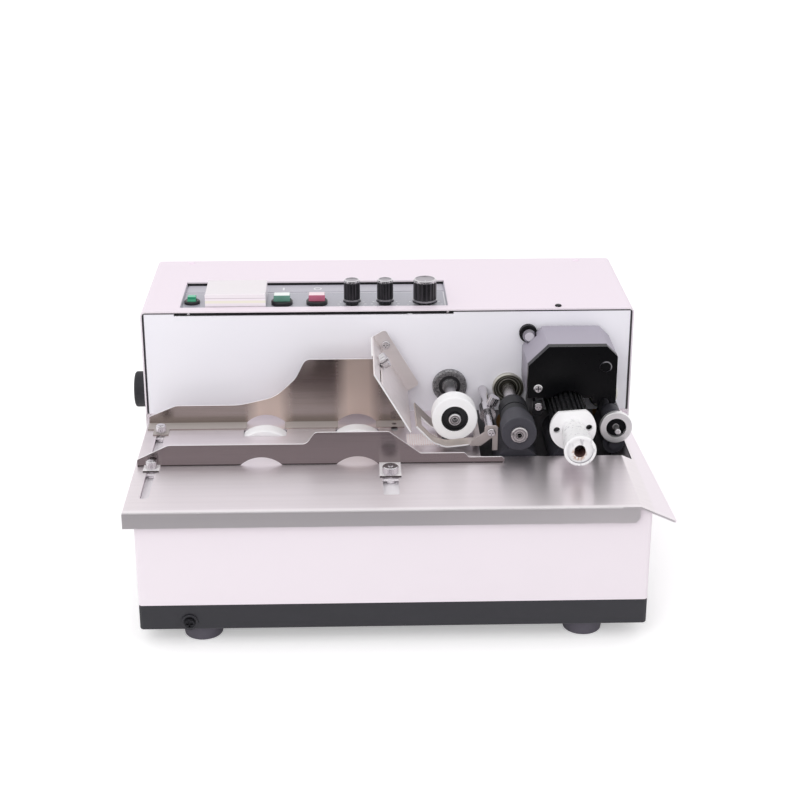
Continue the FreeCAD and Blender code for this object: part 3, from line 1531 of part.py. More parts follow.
def make_rear_guide():
    """Tall L-shaped guide; its foot points to the operator and is arched over the feed wheels."""
    slope = (gate_bottom_x - gate_top_x) / (gate_top_z - gate_bottom_z)
    low_x = gate_bottom_x - rear_gate_gap
    high_x = gate_top_x + (gate_top_z - rear_guide_high_z) * slope - rear_gate_gap
    head_x = feed_right_x - rear_guide_head_to_feed
    corners = [(guide_left_x, table_top_z, 0), (low_x, table_top_z, 0), (low_x, gate_bottom_z, 0),
               (high_x, rear_guide_high_z, guide_corner_r), (head_x, rear_guide_high_z, rear_guide_head_r),
               (head_x - rear_guide_shoulder, rear_guide_high_z - rear_guide_shoulder_drop,
                rear_guide_shoulder_r),
               (head_x - rear_guide_hollow, rear_guide_low_z + rear_guide_hollow_rise, rear_guide_hollow_r),
               (feed_left_x - rear_guide_rise_to_feed, rear_guide_low_z, rear_guide_rise_r),
               (guide_left_x + rear_guide_ramp, rear_guide_low_z, guide_ramp_r),
               (guide_left_x, rear_guide_left_z, guide_corner_r)]
    web = plate_xz(corners, rear_guide_y - guide_sheet, rear_guide_y)
    left_y = rear_guide_y - rear_left_stud_reach
    foot = box(guide_left_x, low_x, rear_foot_y, rear_guide_y, table_top_z, table_top_z + guide_sheet)
    tab = guide_tab(slot_left_x, guide_tab_half_left, left_y - guide_tab_margin, rear_guide_y)
    arches = [arch(x, rear_arch_half, rear_arch_height, rear_foot_y - 1, rear_guide_y + 1)
              for x in (feed_left_x, feed_right_x)]
    studs = [rod_z(x, y, guide_stud_r, table_top_z - 1, table_top_z + guide_sheet + 1)
             for x, y in ((slot_left_x, left_y), (slot_rear_x, rear_guide_y - rear_right_stud_reach))]
    return cut_all(fuse_all([web, foot, tab]), arches + studs)


def make_front_guide():
    """Low guide on the operator's side, held by a tab at each end."""
    step_x = feed_right_x - front_guide_step_to_feed
    drop_x = gate_bottom_x + front_guide_drop_from_gate
    right_x = pull_x - front_guide_tip_from_pull
    corners = [(guide_left_x, table_top_z, 0), (right_x - front_guide_toe, table_top_z, 1.0),
               (right_x, table_top_z + front_guide_toe_rise, front_guide_tip_r),
               (right_x - front_guide_tip, front_guide_nose_z, front_guide_tip_r),
               (drop_x + front_guide_drop, front_guide_nose_z, guide_corner_r),
               (drop_x, front_guide_end_z, guide_corner_r),
               (gate_bottom_x + front_guide_foot_from_gate, front_guide_end_z, front_guide_foot_r),
               (gate_bottom_x - front_guide_fall_to_gate, front_guide_high_z, front_guide_fall_r),
               (step_x + front_guide_step, front_guide_high_z, front_guide_high_r),
               (step_x, front_guide_low_z, front_guide_step_r),
               (guide_left_x + front_guide_ramp, front_guide_low_z, guide_ramp_r),
               (guide_left_x, front_guide_left_z, guide_corner_r)]
    web = plate_xz(corners, front_guide_y - guide_sheet, front_guide_y)
    arches = [arch(x, front_notch_half, front_notch_height, front_guide_y - 2 * guide_sheet,
                   front_guide_y + 1)
              for x in (feed_left_x, feed_right_x)]
    tabs = []
    studs = []
    for x, half, reach in ((slot_left_x, guide_tab_half_left, front_left_stud_reach),
                           (slot_right_x, guide_tab_half_right, front_right_stud_reach)):
        y = front_guide_y - reach
        tabs.append(guide_tab(x, half, y - guide_tab_margin, front_guide_y))
        studs.append(rod_z(x, y, guide_stud_r, table_top_z - 1, table_top_z + guide_sheet + 1))
    return cut_all(fuse_all([web] + tabs), arches + studs)


def guide_stud(x, y, slot_width, top_z):
    """Stud down through a slot, with the keeper and nut that hold it under the table."""
    keeper_top = table_bottom_z - keeper_gap
    keeper_low = keeper_top - keeper_thick
    half = slot_width / 2 + keeper_lap
    stem = rod_z(x, y, guide_stud_r, keeper_low - keeper_nut, top_z)
    keeper = box(x - half, x + half, y - keeper_depth / 2, y + keeper_depth / 2, keeper_low, keeper_top)
    nut = rod_z(x, y, guide_stud_r + keeper_nut_wall, keeper_low - keeper_nut, keeper_low)
    return [stem, keeper, nut]


def thumb_nut(x, y, slot_width, nut_r):
    """Fluted thumb nut on a guide's tab, with its stud and keeper."""
    seat = table_top_z + guide_sheet
    top = seat + nut_height
    knob = fluted(x, y, nut_r, nut_flute, nut_flutes, seat + nut_neck, top - nut_edge_r)
    crown = rod_z(x, y, nut_r - nut_flute, top - nut_edge_r, top)
    crown = crown.makeChamfer(nut_edge_r / 2, edges_where(crown, lambda b: b.ZMin > top - 0.01))
    neck = rod_z(x, y, nut_r * nut_neck_share, seat, seat + nut_neck)
    return fuse_all([knob, crown, neck] + guide_stud(x, y, slot_width, top + stud_tip))


def make_rear_guide_nuts():
    left = thumb_nut(slot_left_x, rear_guide_y - rear_left_stud_reach, slot_left_width, left_nut_r)
    welded = guide_stud(slot_rear_x, rear_guide_y - rear_right_stud_reach, slot_rear_width,
                        table_top_z + guide_sheet)
    return group([left, fuse_all(welded)])


def make_front_guide_nuts():
    left = thumb_nut(slot_left_x, front_guide_y - front_left_stud_reach, slot_left_width, left_nut_r)
    right = thumb_nut(slot_right_x, front_guide_y - front_right_stud_reach, slot_right_width, right_nut_r)
    return group([left, right])


# Gate: u runs down its slope from the top edge, n stands off its upper face
def gate_frame():
    along = V(gate_bottom_x - gate_top_x, 0, gate_bottom_z - gate_top_z)
    along.normalize()
    return V(gate_top_x, 0, gate_top_z), along, V(-along.z, 0, along.x)


def gate_length():
    return math.hypot(gate_bottom_x - gate_top_x, gate_top_z - gate_bottom_z)


def gate_point(u, n, y):
    start, along, normal = gate_frame()
    p = start + along * u + normal * n
    return V(p.x, y, p.z)


def gate_slab(u0, u1, n0, n1, y0, y1, r):
    corners = []
    for u, n in ((u0, n0), (u1, n0), (u1, n1), (u0, n1)):
        p = gate_point(u, n, 0)
        corners.append((p.x, p.z, r if n == n1 else 0))
    return plate_xz(corners, y0, y1)


def gate_pin(r, n0, n1):
    normal = gate_frame()[2]
    return Part.makeCylinder(r, n1 - n0, gate_point(gate_nut_u, n0, gate_nut_y), normal)


def gate_screw_port():
    p = gate_point(gate_screw_u, gate_screw_n, 0)
    return p.x, p.z, gate_spigot_r + running_fit


def make_gate_plate():
    plate = gate_slab(0, gate_length(), 0, guide_sheet, gate_front_y, gate_back_y, 0)
    half = gate_slot_width / 2
    slot = gate_slab(gate_nut_u - half, gate_nut_u + half, -1, guide_sheet + 1, gate_slot_front_y,
                     gate_slot_back_y, 0)
    return plate.cut(slot)


def make_gate_bracket():
    """Angle that carries the gate: a leg under it and a leaf that faces the operator."""
    back = gate_back_y + guide_sheet
    leg = gate_slab(0, gate_length(), -guide_sheet, 0, gate_leg_front_y, back, 0)
    leaf = gate_slab(0, gate_length(), -guide_sheet, gate_leaf, gate_back_y, back, gate_corner_r)
    x, z = gate_screw_port()[:2]
    hole = rod_y(x, z, gate_stem_r, gate_back_y - 2, gate_back_y + 4)
    return cut_all(fuse_all([leg, leaf]), [hole, gate_pin(gate_stud_r, -2 * guide_sheet, 1)])


def make_gate_screws():
    """Screw and standoff from the leaf to the panel, and the thumb nut that clamps the gate."""
    x, z = gate_screw_port()[:2]
    screw = pan_screw(x, z, gate_screw_r, gate_screw_head, gate_stem_r, guide_sheet, gate_back_y)
    post = rod_y(x, z, gate_post_r, gate_back_y + guide_sheet, panel_face_y)
    spigot = rod_y(x, z, gate_spigot_r, panel_face_y, frame_gap_y)
    seat = guide_sheet
    top = seat + gate_nut_neck + gate_nut
    knob = fluted(0, 0, gate_nut_r, nut_flute, nut_flutes, seat + gate_nut_neck, top)
    stud = rod_z(0, 0, gate_stud_r, -guide_sheet, top + gate_stud_tip)
    neck = rod_z(0, 0, gate_nut_neck_r, seat, seat + gate_nut_neck)
    nut = fuse_all([knob, neck, stud])
    normal = gate_frame()[2]
    nut.rotate(V(0, 0, 0), Y_AXIS, math.degrees(math.atan2(normal.x, normal.z)))
    nut.translate(gate_point(gate_nut_u, 0, gate_nut_y))
    return group([fuse_all([screw, post, spigot]), nut])


# Curved guide under the separator wheel, and the rod that carries it
def make_curved_guide():
    path = [(curved_left_x, curved_left_z), (curved_drop_x, curved_drop_z), (curved_low_x, curved_low_z),
            (curved_right_x, curved_right_z)]
    skin = bent_sheet(path, curved_bend_r, guide_sheet, curved_front_y, curved_back_y)
    window = box(curved_left_x + curved_rail, curved_right_x - curved_rail,
                 separator_front_y - curved_window_gap,
                 separator_front_y + separator_width + curved_window_gap,
                 curved_low_z - curved_rail, curved_left_z + curved_rail)
    lug_back = guide_lug_y + guide_sheet
    half = guide_lug_half
    lug = plate_xz(rectangle(guide_rod_x - half, guide_rod_x + half, guide_rod_z - half, guide_rod_z + half,
                             guide_lug_r), guide_lug_y, lug_back)
    arm = plate_xz([(curved_right_x - guide_arm, curved_right_z - 0.6, 0),
                    (curved_right_x, curved_right_z, 0),
                    (guide_rod_x, guide_rod_z - half, 0), (guide_rod_x - half, guide_rod_z, 0),
                    (curved_right_x - guide_arm, curved_right_z + 3, 2)], guide_lug_y, lug_back)
    fold = box(curved_right_x - guide_arm, curved_right_x - 0.4, guide_lug_y, curved_front_y + 1,
               curved_right_z - 0.6, curved_right_z + guide_sheet - 0.3)
    leg = box(guide_rod_x + guide_leg_left, guide_rod_x + half, guide_lug_y, lug_back,
              guide_leg_low_z, guide_rod_z)
    hole = rod_y(guide_rod_x, guide_rod_z, guide_screw_stem_r + running_fit, guide_lug_y - 1, lug_back + 1)
    return fuse_all([skin.cut(window), lug, arm, fold, leg]).cut(hole)


def make_guide_rod():
    rod = rod_y(guide_rod_x, guide_rod_z, guide_rod_r, guide_rod_front_y, frame_gap_y)
    screw = pan_screw(guide_rod_x, guide_rod_z, guide_screw_r, guide_screw_head, guide_screw_stem_r,
                      guide_screw_depth, guide_lug_y - guide_screw_gap)
    return group([fuse_all([rod, screw])] + make_rod_clamp())


def make_rod_clamp():
    """Collar on the rod and the knurled thumb screw that locks it."""
    y1 = clamp_front_y + clamp_length
    collar = tube_y(guide_rod_x, guide_rod_z, clamp_r, guide_rod_r + running_fit, clamp_front_y, y1)
    y = (clamp_front_y + y1) / 2
    neck = clamp_r + clamp_neck
    screw = fluted(0, 0, clamp_knob_r, nut_flute, nut_flutes, neck, neck + clamp_knob)
    screw = fuse_all([screw, rod_z(0, 0, clamp_stem_r, guide_rod_r + clamp_tip_gap, neck)])
    hole = rod_z(0, 0, clamp_stem_r, 0, neck)
    for piece in (screw, hole):
        piece.rotate(V(0, 0, 0), Y_AXIS, clamp_tilt_deg)
        piece.translate(V(guide_rod_x, y, guide_rod_z))
    return [collar.cut(hole), screw]


# Ink head: cover, heater jacket with its back plate, ink roll, pivot and side bracket
def head_outline(inset):
    """Outline of the ink head with its two bevelled top corners."""
    k = inset * math.tan(math.radians(22.5))
    left = head_left_x + inset
    right = head_right_x - inset
    top = head_top_z - inset
    return [(left, head_left_low_z, 0), (right, head_left_low_z, 0),
            (right, head_top_z - head_chamfer_right - k, 0),
            (head_right_x - head_chamfer_right - k, top, 0), (head_left_x + head_chamfer_left + k, top, 0),
            (left, head_top_z - head_chamfer_left - k, 0)]


def make_ink_cover():
    inner = head_outline(head_wall)
    inner[0] = (inner[0][0], head_left_low_z - 1, 0)
    inner[1] = (inner[1][0], head_left_low_z - 1, 0)
    shell = plate_xz(head_outline(0), head_front_y, head_back_y)
    shell = shell.cut(plate_xz(inner, head_front_y + head_wall, head_back_y + 1))
    leg_x = head_right_x - head_leg_width
    overlap_z = head_left_low_z + 1
    leg = plate_xz([(leg_x, overlap_z, 0), (leg_x, head_right_low_z, 1.5),
                    (head_right_x, head_right_low_z, 1.5),
                    (head_right_x, overlap_z, 0)], head_front_y, head_front_y + head_wall)
    side = box(head_right_x - head_wall, head_right_x, head_front_y, head_front_y + head_leg_side,
               head_right_low_z + 1.5, overlap_z)
    dome_front = head_back_y - dome_length
    cuts = [rod_y(print_x, upper_shaft_z, type_r + head_arch_clear, head_front_y - 1, head_back_y + 1),
            rod_y(head_right_x - head_leg_arch_offset, head_right_low_z, head_leg_arch_r, head_front_y - 1,
                  head_front_y + head_wall + 1),
            rod_y(head_pivot_x, head_pivot_z, dome_r + dome_clear, dome_front - dome_clear, head_back_y + 1),
            rod_y(cover_fix_x, cover_fix_z, cover_fix_stem_r, head_front_y - 1,
                  head_front_y + head_wall + 1)]
    boss = tube_y(head_boss_x, head_boss_z, head_boss_r, head_boss_r - head_boss_wall,
                  head_front_y - head_boss,
                  head_front_y)
    return fuse_all([cut_all(fuse_all([shell, leg, side]), cuts), boss])


def make_heater_block():
    """Aluminium heater jacket, the head's back plate, the ink spindle and the cover screw."""
    y0 = ink_roll_front_y
    y1 = y0 + ink_roll_length
    y2 = head_back_y + head_plate
    plate = plate_xz(head_outline(head_wall + head_plate_gap), head_back_y, y2)
    lug = rod_y(head_pivot_x, head_pivot_z, head_lug_r, head_back_y, y2)
    plate = cut_all(fuse_all([plate, lug]),
                    [rod_y(print_x, upper_shaft_z, type_r + head_arch_clear, head_back_y - 1, y2 + 1),
                     rod_y(head_pivot_x, head_pivot_z, pivot_bolt_r + running_fit, head_back_y - 1, y2 + 1)])
    bore_r = ink_roll_r + heater_gap
    block = box(ink_roll_x - bore_r - heater_wall, ink_roll_x + bore_r + heater_wall, y0, head_back_y,
                ink_roll_z + heater_rise, ink_roll_z + bore_r + heater_wall)
    block = block.cut(rod_y(ink_roll_x, ink_roll_z, bore_r, y0 - 1, y1 + heater_gap))
    spindle = rod_y(ink_roll_x, ink_roll_z, ink_spindle_r, y0 - 1, head_back_y)
    web = box(ink_roll_x - 2 * ink_spindle_r, ink_roll_x + 2 * ink_spindle_r, y1 + heater_gap, head_back_y,
              ink_roll_z - 1.5 * ink_spindle_r, ink_roll_z + 2 * heater_rise)
    post = box(cover_fix_x - cover_fix_post, cover_fix_x + cover_fix_post, head_front_y + head_wall,
               head_back_y,
               cover_fix_z - cover_fix_post, cover_fix_z + cover_fix_post)
    jacket = fuse_all([plate, block, spindle, web, post])
    screw = pan_screw(cover_fix_x, cover_fix_z, cover_fix_r, cover_fix_head, cover_fix_stem_r,
                      cover_fix_depth,
                      head_front_y)
    hole = rod_y(cover_fix_x, cover_fix_z, cover_fix_stem_r, head_front_y, head_front_y + cover_fix_depth)
    return group([jacket.cut(hole), screw])


def make_ink_roll():
    y0 = ink_roll_front_y
    roll = rod_y(ink_roll_x, ink_roll_z, ink_roll_r, y0, y0 + ink_roll_length)
    roll = roll.makeChamfer(ink_roll_edge_r, edges_where(roll, lambda b: b.YLength < 0.01))
    return roll.cut(rod_y(ink_roll_x, ink_roll_z, ink_spindle_r + running_fit, y0 - 1,
                          y0 + ink_roll_length + 1))


def make_pivot_nut():
    """Dome nut and bolt that the ink head swings on, with the washer that spaces it off the panel."""
    back = head_back_y - dome_gap
    shoulder = back - dome_length + dome_r * 0.6
    barrel = rod_y(head_pivot_x, head_pivot_z, dome_r, shoulder, back)
    ball = Part.makeSphere(dome_r, V(head_pivot_x, shoulder, head_pivot_z))
    cap = ball.common(rod_y(head_pivot_x, head_pivot_z, dome_r + 1, back - dome_length, shoulder))
    bolt = rod_y(head_pivot_x, head_pivot_z, pivot_bolt_r, back - 1, frame_gap_y)
    washer = rod_y(head_pivot_x, head_pivot_z, head_lug_r, head_back_y + head_plate + dome_gap, panel_face_y)
    return fuse_all([barrel, cap, bolt, washer])


def make_ink_bracket():
    """Side sheet between the pressing roller and the type wheel, with its screw tab."""
    web = box(bracket_x, bracket_x + guide_sheet, bracket_front_y, panel_face_y, bracket_low_z,
              bracket_high_z)
    tab = box(bracket_x, bracket_x + bracket_tab, bracket_front_y, bracket_front_y + guide_sheet,
              bracket_high_z - bracket_tab_height, bracket_high_z)
    foot = box(bracket_x, bracket_x + guide_sheet + bracket_foot, panel_face_y - guide_sheet, panel_face_y,
               bracket_low_z, bracket_high_z - bracket_foot)
    hole = rod_y(bracket_screw_x, bracket_screw_z, bracket_screw_stem_r, bracket_front_y - 1,
                 bracket_front_y + 3)
    return fuse_all([web, tab, foot]).cut(hole)


def make_bracket_screw():
    return pan_screw(bracket_screw_x, bracket_screw_z, bracket_screw_r, bracket_screw_head,
                     bracket_screw_stem_r,
                     bracket_screw_depth, bracket_front_y)


# Control panel, its switches, knobs and counter
def knob_spots():
    return ((knob_one_x, knob_small_y, knob_small_r, knob_small_height),
            (knob_two_x, knob_small_y, knob_small_r, knob_small_height),
            (knob_three_x, knob_large_y, knob_large_r, knob_large_height))


def make_control_panel():
    """Tray let into the housing's top, with the strip that shows along the front panel's upper edge."""
    x0 = panel_left_x + panel_gap
    x1 = panel_right_x - panel_gap
    y0 = panel_front_y + panel_gap
    y1 = panel_back_y - panel_gap
    under = housing_top_z - cover_sheet
    low = panel_floor_z - sheet
    tub = box(x0 - sheet, x1 + sheet, y0 - sheet, y1 + sheet, low, under)
    rim = box(x0 - panel_rim, x1 + panel_rim, y0 - panel_rim, y1 + panel_rim, under - panel_rim_thick, under)
    tray = fuse_all([tub, rim]).cut(box(x0, x1, y0, y1, panel_floor_z, under + 1))
    label = box(x0 + 1, x1 - 1, y1 - panel_label_depth, y1 - 1, panel_floor_z, panel_floor_z + panel_label)
    strip_top = under - strip_gap
    shelf = box(strip_left_x + strip_gap, strip_right_x - strip_gap, panel_face_y + strip_gap, y0,
                strip_top - panel_rim_thick, strip_top)
    strip = box(strip_left_x + strip_gap, strip_right_x - strip_gap, panel_face_y + strip_gap,
                panel_face_y + strip_gap + panel_rim_thick, under - strip_height, strip_top)
    cuts = [rod_z(x, y, pot_spindle_r + 0.5, low - 1, panel_floor_z + 1) for x, y, r, h in knob_spots()]
    for x in (button_green_x, button_red_x):
        cuts.append(rod_z(x, button_y, button_neck_r + running_fit, low - 1, panel_floor_z + 1))
    cuts.append(rod_z(switch_x, switch_y, switch_neck_r + running_fit, low - 1, panel_floor_z + 1))
    x2, x3, y2, y3 = counter_box()
    inset = counter_tank_inset - running_fit
    cuts.append(box(x2 + inset, x3 - inset, y2 + inset, y3 - inset, low - 1, panel_floor_z + 1))
    return cut_all(fuse_all([tray, label, shelf, strip]), cuts)


def make_switch_bodies():
    """Bezels and bodies of the push switches and the power switch, and the potentiometers."""
    bodies = []
    for x in (button_green_x, button_red_x):
        ring = rod_z(x, button_y, button_bezel_r, panel_floor_z, panel_floor_z + button_bezel)
        ring = ring.makeChamfer(button_edge_r, edges_where(ring, lambda b: b.ZMin > panel_floor_z + 1))
        neck = rod_z(x, button_y, button_neck_r, panel_floor_z - button_neck, panel_floor_z)
        half_w = button_width / 2 + button_fit
        half_d = button_depth / 2 + button_fit
        pocket = box(x - half_w, x + half_w, button_y - half_d, button_y + half_d, panel_floor_z,
                     panel_floor_z + button_top)
        bore = rod_z(x, button_y, button_stem_r + running_fit, panel_floor_z - button_stem - button_travel,
                     panel_floor_z + 1)
        bodies.append(cut_all(fuse_all([ring, neck]), [pocket, bore]))
    ring = rod_z(switch_x, switch_y, switch_r, panel_floor_z, panel_floor_z + switch_bezel)
    ring = ring.makeChamfer(button_edge_r, edges_where(ring, lambda b: b.ZMin > panel_floor_z + 1))
    neck = rod_z(switch_x, switch_y, switch_neck_r, panel_floor_z - switch_neck, panel_floor_z)
    half_x = rocker_half_x + rocker_fit
    half_y = rocker_half_y + rocker_fit
    pocket = box(switch_x - half_x, switch_x + half_x, switch_y - half_y, switch_y + half_y,
                 panel_floor_z - switch_pocket, panel_floor_z + switch_bezel + 1)
    bodies.append(fuse_all([ring, neck]).cut(pocket))
    low = panel_floor_z - sheet
    for x, y, r, height in knob_spots():
        can = rod_z(x, y, pot_r, low - pot_depth, low)
        spindle = rod_z(x, y, pot_spindle_r, low, panel_floor_z + pot_spindle)
        nut = rod_z(x, y, pot_nut_r, panel_floor_z, panel_floor_z + pot_nut)
        bodies.append(fuse_all([can, spindle, nut]))
    return group(bodies)


def make_push_button(x):
    """Cap that sinks into its bezel, on a round stem."""
    low = panel_floor_z + button_travel + running_fit
    cap = box(x - button_width / 2, x + button_width / 2, button_y - button_depth / 2,
              button_y + button_depth / 2,
              low, panel_floor_z + button_top)
    cap = cap.makeFillet(button_edge_r, edges_where(cap, lambda b: b.ZMin > low + 1))
    return fuse_all([cap, rod_z(x, button_y, button_stem_r, panel_floor_z - button_stem, low)])


def make_power_rocker():
    """Rocker that tips about X inside its round bezel."""
    z = rocker_axis_z
    drum = rod_x(switch_y, z, rocker_half_y, switch_x - rocker_half_x, switch_x + rocker_half_x)
    crown = box(switch_x - rocker_half_x, switch_x + rocker_half_x, switch_y - rocker_crown_half_y,
                switch_y + rocker_crown_half_y, z, z + rocker_rise)
    crown = crown.makeFillet(rocker_edge_r, edges_where(crown, lambda b: b.ZMin > z + 1))
    return fuse_all([drum, crown])


def make_knob(x, y, r, height):
    z0 = panel_floor_z + knob_gap
    z1 = z0 + height
    skirt = rod_z(x, y, r + knob_skirt_flare, z0, z0 + knob_skirt)
    grip = fluted(x, y, r, knob_flute, knob_flutes, z0 + knob_skirt, z1 - knob_crown)
    crown = rod_z(x, y, r - knob_flute, z1 - knob_crown, z1)
    crown = crown.makeChamfer(knob_flute, edges_where(crown, lambda b: b.ZMin > z1 - 0.01))
    crown = crown.cut(rod_z(x, y, r - knob_flute - knob_crown_rim, z1 - knob_crown_dish, z1 + 1))
    pointer = box(x - knob_pointer / 2, x + knob_pointer / 2, y - r - knob_skirt_flare / 2,
                  y - r + knob_crown,
                  z0 + knob_skirt / 2, z1 - knob_crown)
    socket = rod_z(x, y, pot_spindle_r + running_fit, z0 - 1, z0 + knob_socket)
    return fuse_all([skirt, grip, crown, pointer]).cut(socket)


def counter_box():
    """Plan of the counter body: it stands clear of the lid's walls all round."""
    margin = counter_wall + counter_gap
    return (counter_left_x + margin, counter_left_x + counter_width - margin, counter_front_y + margin,
            counter_hinge_y - counter_hinge_r - counter_hinge_lift - margin)


def make_counter_unit():
    x0, x1, y0, y1 = counter_box()
    z1 = panel_floor_z + counter_body
    body = box(x0, x1, y0, y1, panel_floor_z, z1)
    body = body.makeChamfer(0.8, edges_where(body, lambda b: b.ZMin > z1 - 0.01))
    window = box(x0 + counter_window_x, x1 - counter_window_x, y0 + counter_window_front,
                 y1 - counter_window_back, z1 - counter_window_depth, z1 + 1)
    inset = counter_tank_inset
    tank = box(x0 + inset, x1 - inset, y0 + inset, y1 - inset, panel_floor_z - counter_tank, panel_floor_z)
    return fuse_all([body.cut(window), tank])


def make_counter_hinge():
    """Hinge pin of the lid on its two stands."""
    x0 = counter_left_x + 1
    x1 = counter_left_x + counter_width - 1
    pieces = [rod_x(counter_hinge_y, counter_hinge_z, hinge_pin_r, x0, x1)]
    for x in (x0, x1 - counter_stand):
        pieces.append(box(x, x + counter_stand, counter_hinge_y - 1.2, counter_hinge_y + 1.2, panel_floor_z,
                          counter_hinge_z + 1.2))
    return fuse_all(pieces)


def make_counter_cover():
    """Clear lid over the counter, hinged along its back edge."""
    x0 = counter_left_x
    x1 = x0 + counter_width
    z0 = panel_floor_z + counter_lift
    z1 = housing_top_z + counter_cover_height
    y1 = counter_hinge_y - counter_hinge_r - counter_hinge_lift
    lid = box(x0, x1, counter_front_y, y1, z0, z1)
    lid = lid.makeFillet(1.0, edges_where(lid, lambda b: b.ZMin > z1 - 0.01))
    lid = lid.cut(box(x0 + counter_wall, x1 - counter_wall, counter_front_y + counter_wall,
                      y1 - counter_wall,
                      z0 - 1, z1 - counter_wall))
    ears = []
    half = counter_hinge_r * 0.8
    for x in (x0 + counter_ear_inset, x1 - counter_ear_inset - counter_ear):
        knuckle = rod_x(counter_hinge_y, counter_hinge_z, counter_hinge_r, x, x + counter_ear)
        arm = box(x, x + counter_ear, y1 - counter_wall / 2, counter_hinge_y, counter_hinge_z - half,
                  counter_hinge_z + half)
        ears.append(fuse_all([arm, knuckle]))
    pin = rod_x(counter_hinge_y, counter_hinge_z, hinge_pin_r + running_fit, x0 - 1, x1 + 1)
    return fuse_all([lid] + ears).cut(pin)


# Side knob, and the drive board on the tray
def make_side_knob():
    x1 = -half_housing - side_knob_gap
    x0 = x1 - side_knob_thick
    disc = rod_x(side_knob_y, side_knob_z, side_knob_r, x0, x1)
    disc = disc.makeFillet(side_knob_edge_r, edges_where(disc, lambda b: b.XMax < x0 + 0.01))
    disc = disc.cut(rod_x(side_knob_y, side_knob_z, side_knob_r - side_knob_rim, x0 - 1,
                          x0 + side_knob_dish))
    return fuse_all([disc, rod_x(side_knob_y, side_knob_z, side_stud_r, x1, x1 + side_stud)])


def make_control_board():
    """Drive board on its pillars, with transformer, heat sink and capacitors."""
    x0 = -half_base + board_side_gap
    x1 = x0 + board_width
    y0 = base_front_y + board_front_gap
    y1 = y0 + board_depth
    z0 = tray_floor_z + board_lift
    top = z0 + board_thick
    board = box(x0, x1, y0, y1, z0, top)
    pillars = [rod_z(x, y, board_pillar_r, tray_floor_z, z0)
               for x in (x0 + board_pillar_inset, x1 - board_pillar_inset)
               for y in (y0 + board_pillar_inset, y1 - board_pillar_inset)]
    core = box(x0 + board_core_inset, x0 + board_core_inset + board_core_width, y0 + board_core_inset,
               y1 - board_core_inset, top, top + board_core_height)
    sink_back = y1 - board_core_inset
    sink = box(x0 + board_sink_inset, x0 + board_sink_inset + board_core_width, sink_back - board_sink_thick,
               sink_back, top, top + board_sink_height)
    cans = [rod_z(x0 + board_can_inset + board_can_pitch * i, y0 + board_can_front, board_can_r, top,
                  top + board_can_height) for i in range(board_cans)]
    return group([fuse_all([board] + pillars), core, sink] + cans)


parts = {
    "base_shell": make_base_shell(),
    "base_tray": make_base_tray(),
    "rubber_feet": make_rubber_feet(),
    "case_screws": group(make_foot_screws() + make_cover_screws()
                         + [make_tray_screw(), make_bracket_screw()]),
    "table_plate": make_table_plate(),
    "slot_trays": make_slot_trays(),
    "friction_pad": make_friction_pad(),
    "housing_cover": make_housing_cover(),
    "front_panel": make_front_panel(),
    "rear_panel": make_rear_panel(),
    "power_inlet": make_power_inlet(),
    "inner_frame": group([frame_sheet(frame_front_y), frame_sheet(frame_back_y)] + make_frame_posts()),
    "shaft_bushes": make_shaft_bushes(),
    "panel_collars": make_panel_collars(),
    "gear_motor": make_gear_motor(),
    "motor_pulley": make_motor_pulley(),
    "drive_belts": make_drive_belts(),
    "feed_wheel_left": make_feed_wheel_left(),
    "feed_wheel_right": make_feed_wheel_right(),
    "lower_feed_roller": make_lower_feed_roller(),
    "lower_pull_roller": make_lower_pull_roller(),
    "impression_roller": make_impression_roller(),
    "lower_outfeed_roller": make_lower_outfeed_roller(),
    "separator_wheel": make_separator_wheel(),
    "separator_hub": make_separator_hub(),
    "separator_shaft": make_separator_shaft(),
    "press_roller": make_press_roller(),
    "press_shaft": make_press_shaft(),
    "type_drum": make_type_drum(),
    "type_disc": make_type_disc(),
    "type_hub": make_type_hub(),
    "type_shaft": make_type_shaft(),
    "outfeed_roller": make_outfeed_roller(),
    "outfeed_shaft": make_outfeed_shaft(),
    "rear_guide": make_rear_guide(),
    "rear_guide_nuts": make_rear_guide_nuts(),
    "front_guide": make_front_guide(),
    "front_guide_nuts": make_front_guide_nuts(),
    "gate_plate": make_gate_plate(),
    "gate_bracket": make_gate_bracket(),
    "gate_screws": make_gate_screws(),
    "curved_guide": make_curved_guide(),
    "guide_rod": make_guide_rod(),
    "ink_cover": make_ink_cover(),
    "heater_block": make_heater_block(),
    "ink_roll": make_ink_roll(),
    "pivot_nut": make_pivot_nut(),
    "ink_bracket": make_ink_bracket(),
    "control_panel": make_control_panel(),
    "switch_bodies": make_switch_bodies(),
    "start_button": make_push_button(button_green_x),
    "stop_button": make_push_button(button_red_x),
    "power_rocker": make_power_rocker(),
    "feed_knob": make_knob(*knob_spots()[0]),
    "heat_knob": make_knob(*knob_spots()[1]),
    "speed_knob": make_knob(*knob_spots()[2]),
    "counter_unit": group([make_counter_unit(), make_counter_hinge()]),
    "counter_cover": make_counter_cover(),
    "side_knob": make_side_knob(),
    "control_board": make_control_board(),
}

os.makedirs("parts", exist_ok=True)
for node, shape in parts.items():
    shape.exportStep("parts/" + node + ".step")
    print(node, len(shape.Solids), "solid(s)", "valid" if shape.isValid() else "NOT VALID")
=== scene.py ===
# %% [markdown]
# # Batch coding machine
#
# A desk-top machine that feeds cartons or labels one at a time under a type wheel, inked by a hot roll.
# The shapes come from the machine's own CAD frame, one object per part. This lesson gives every part
# its finish, sets up plain studio light, and adds the small things that CAD leaves out.
# Everything is in metres, in the frame's own axes: +X the way the paper travels, +Y to the back, +Z up.

# %% Load the frame
import math
import bmesh
import bpy
from mathutils import Matrix, Vector

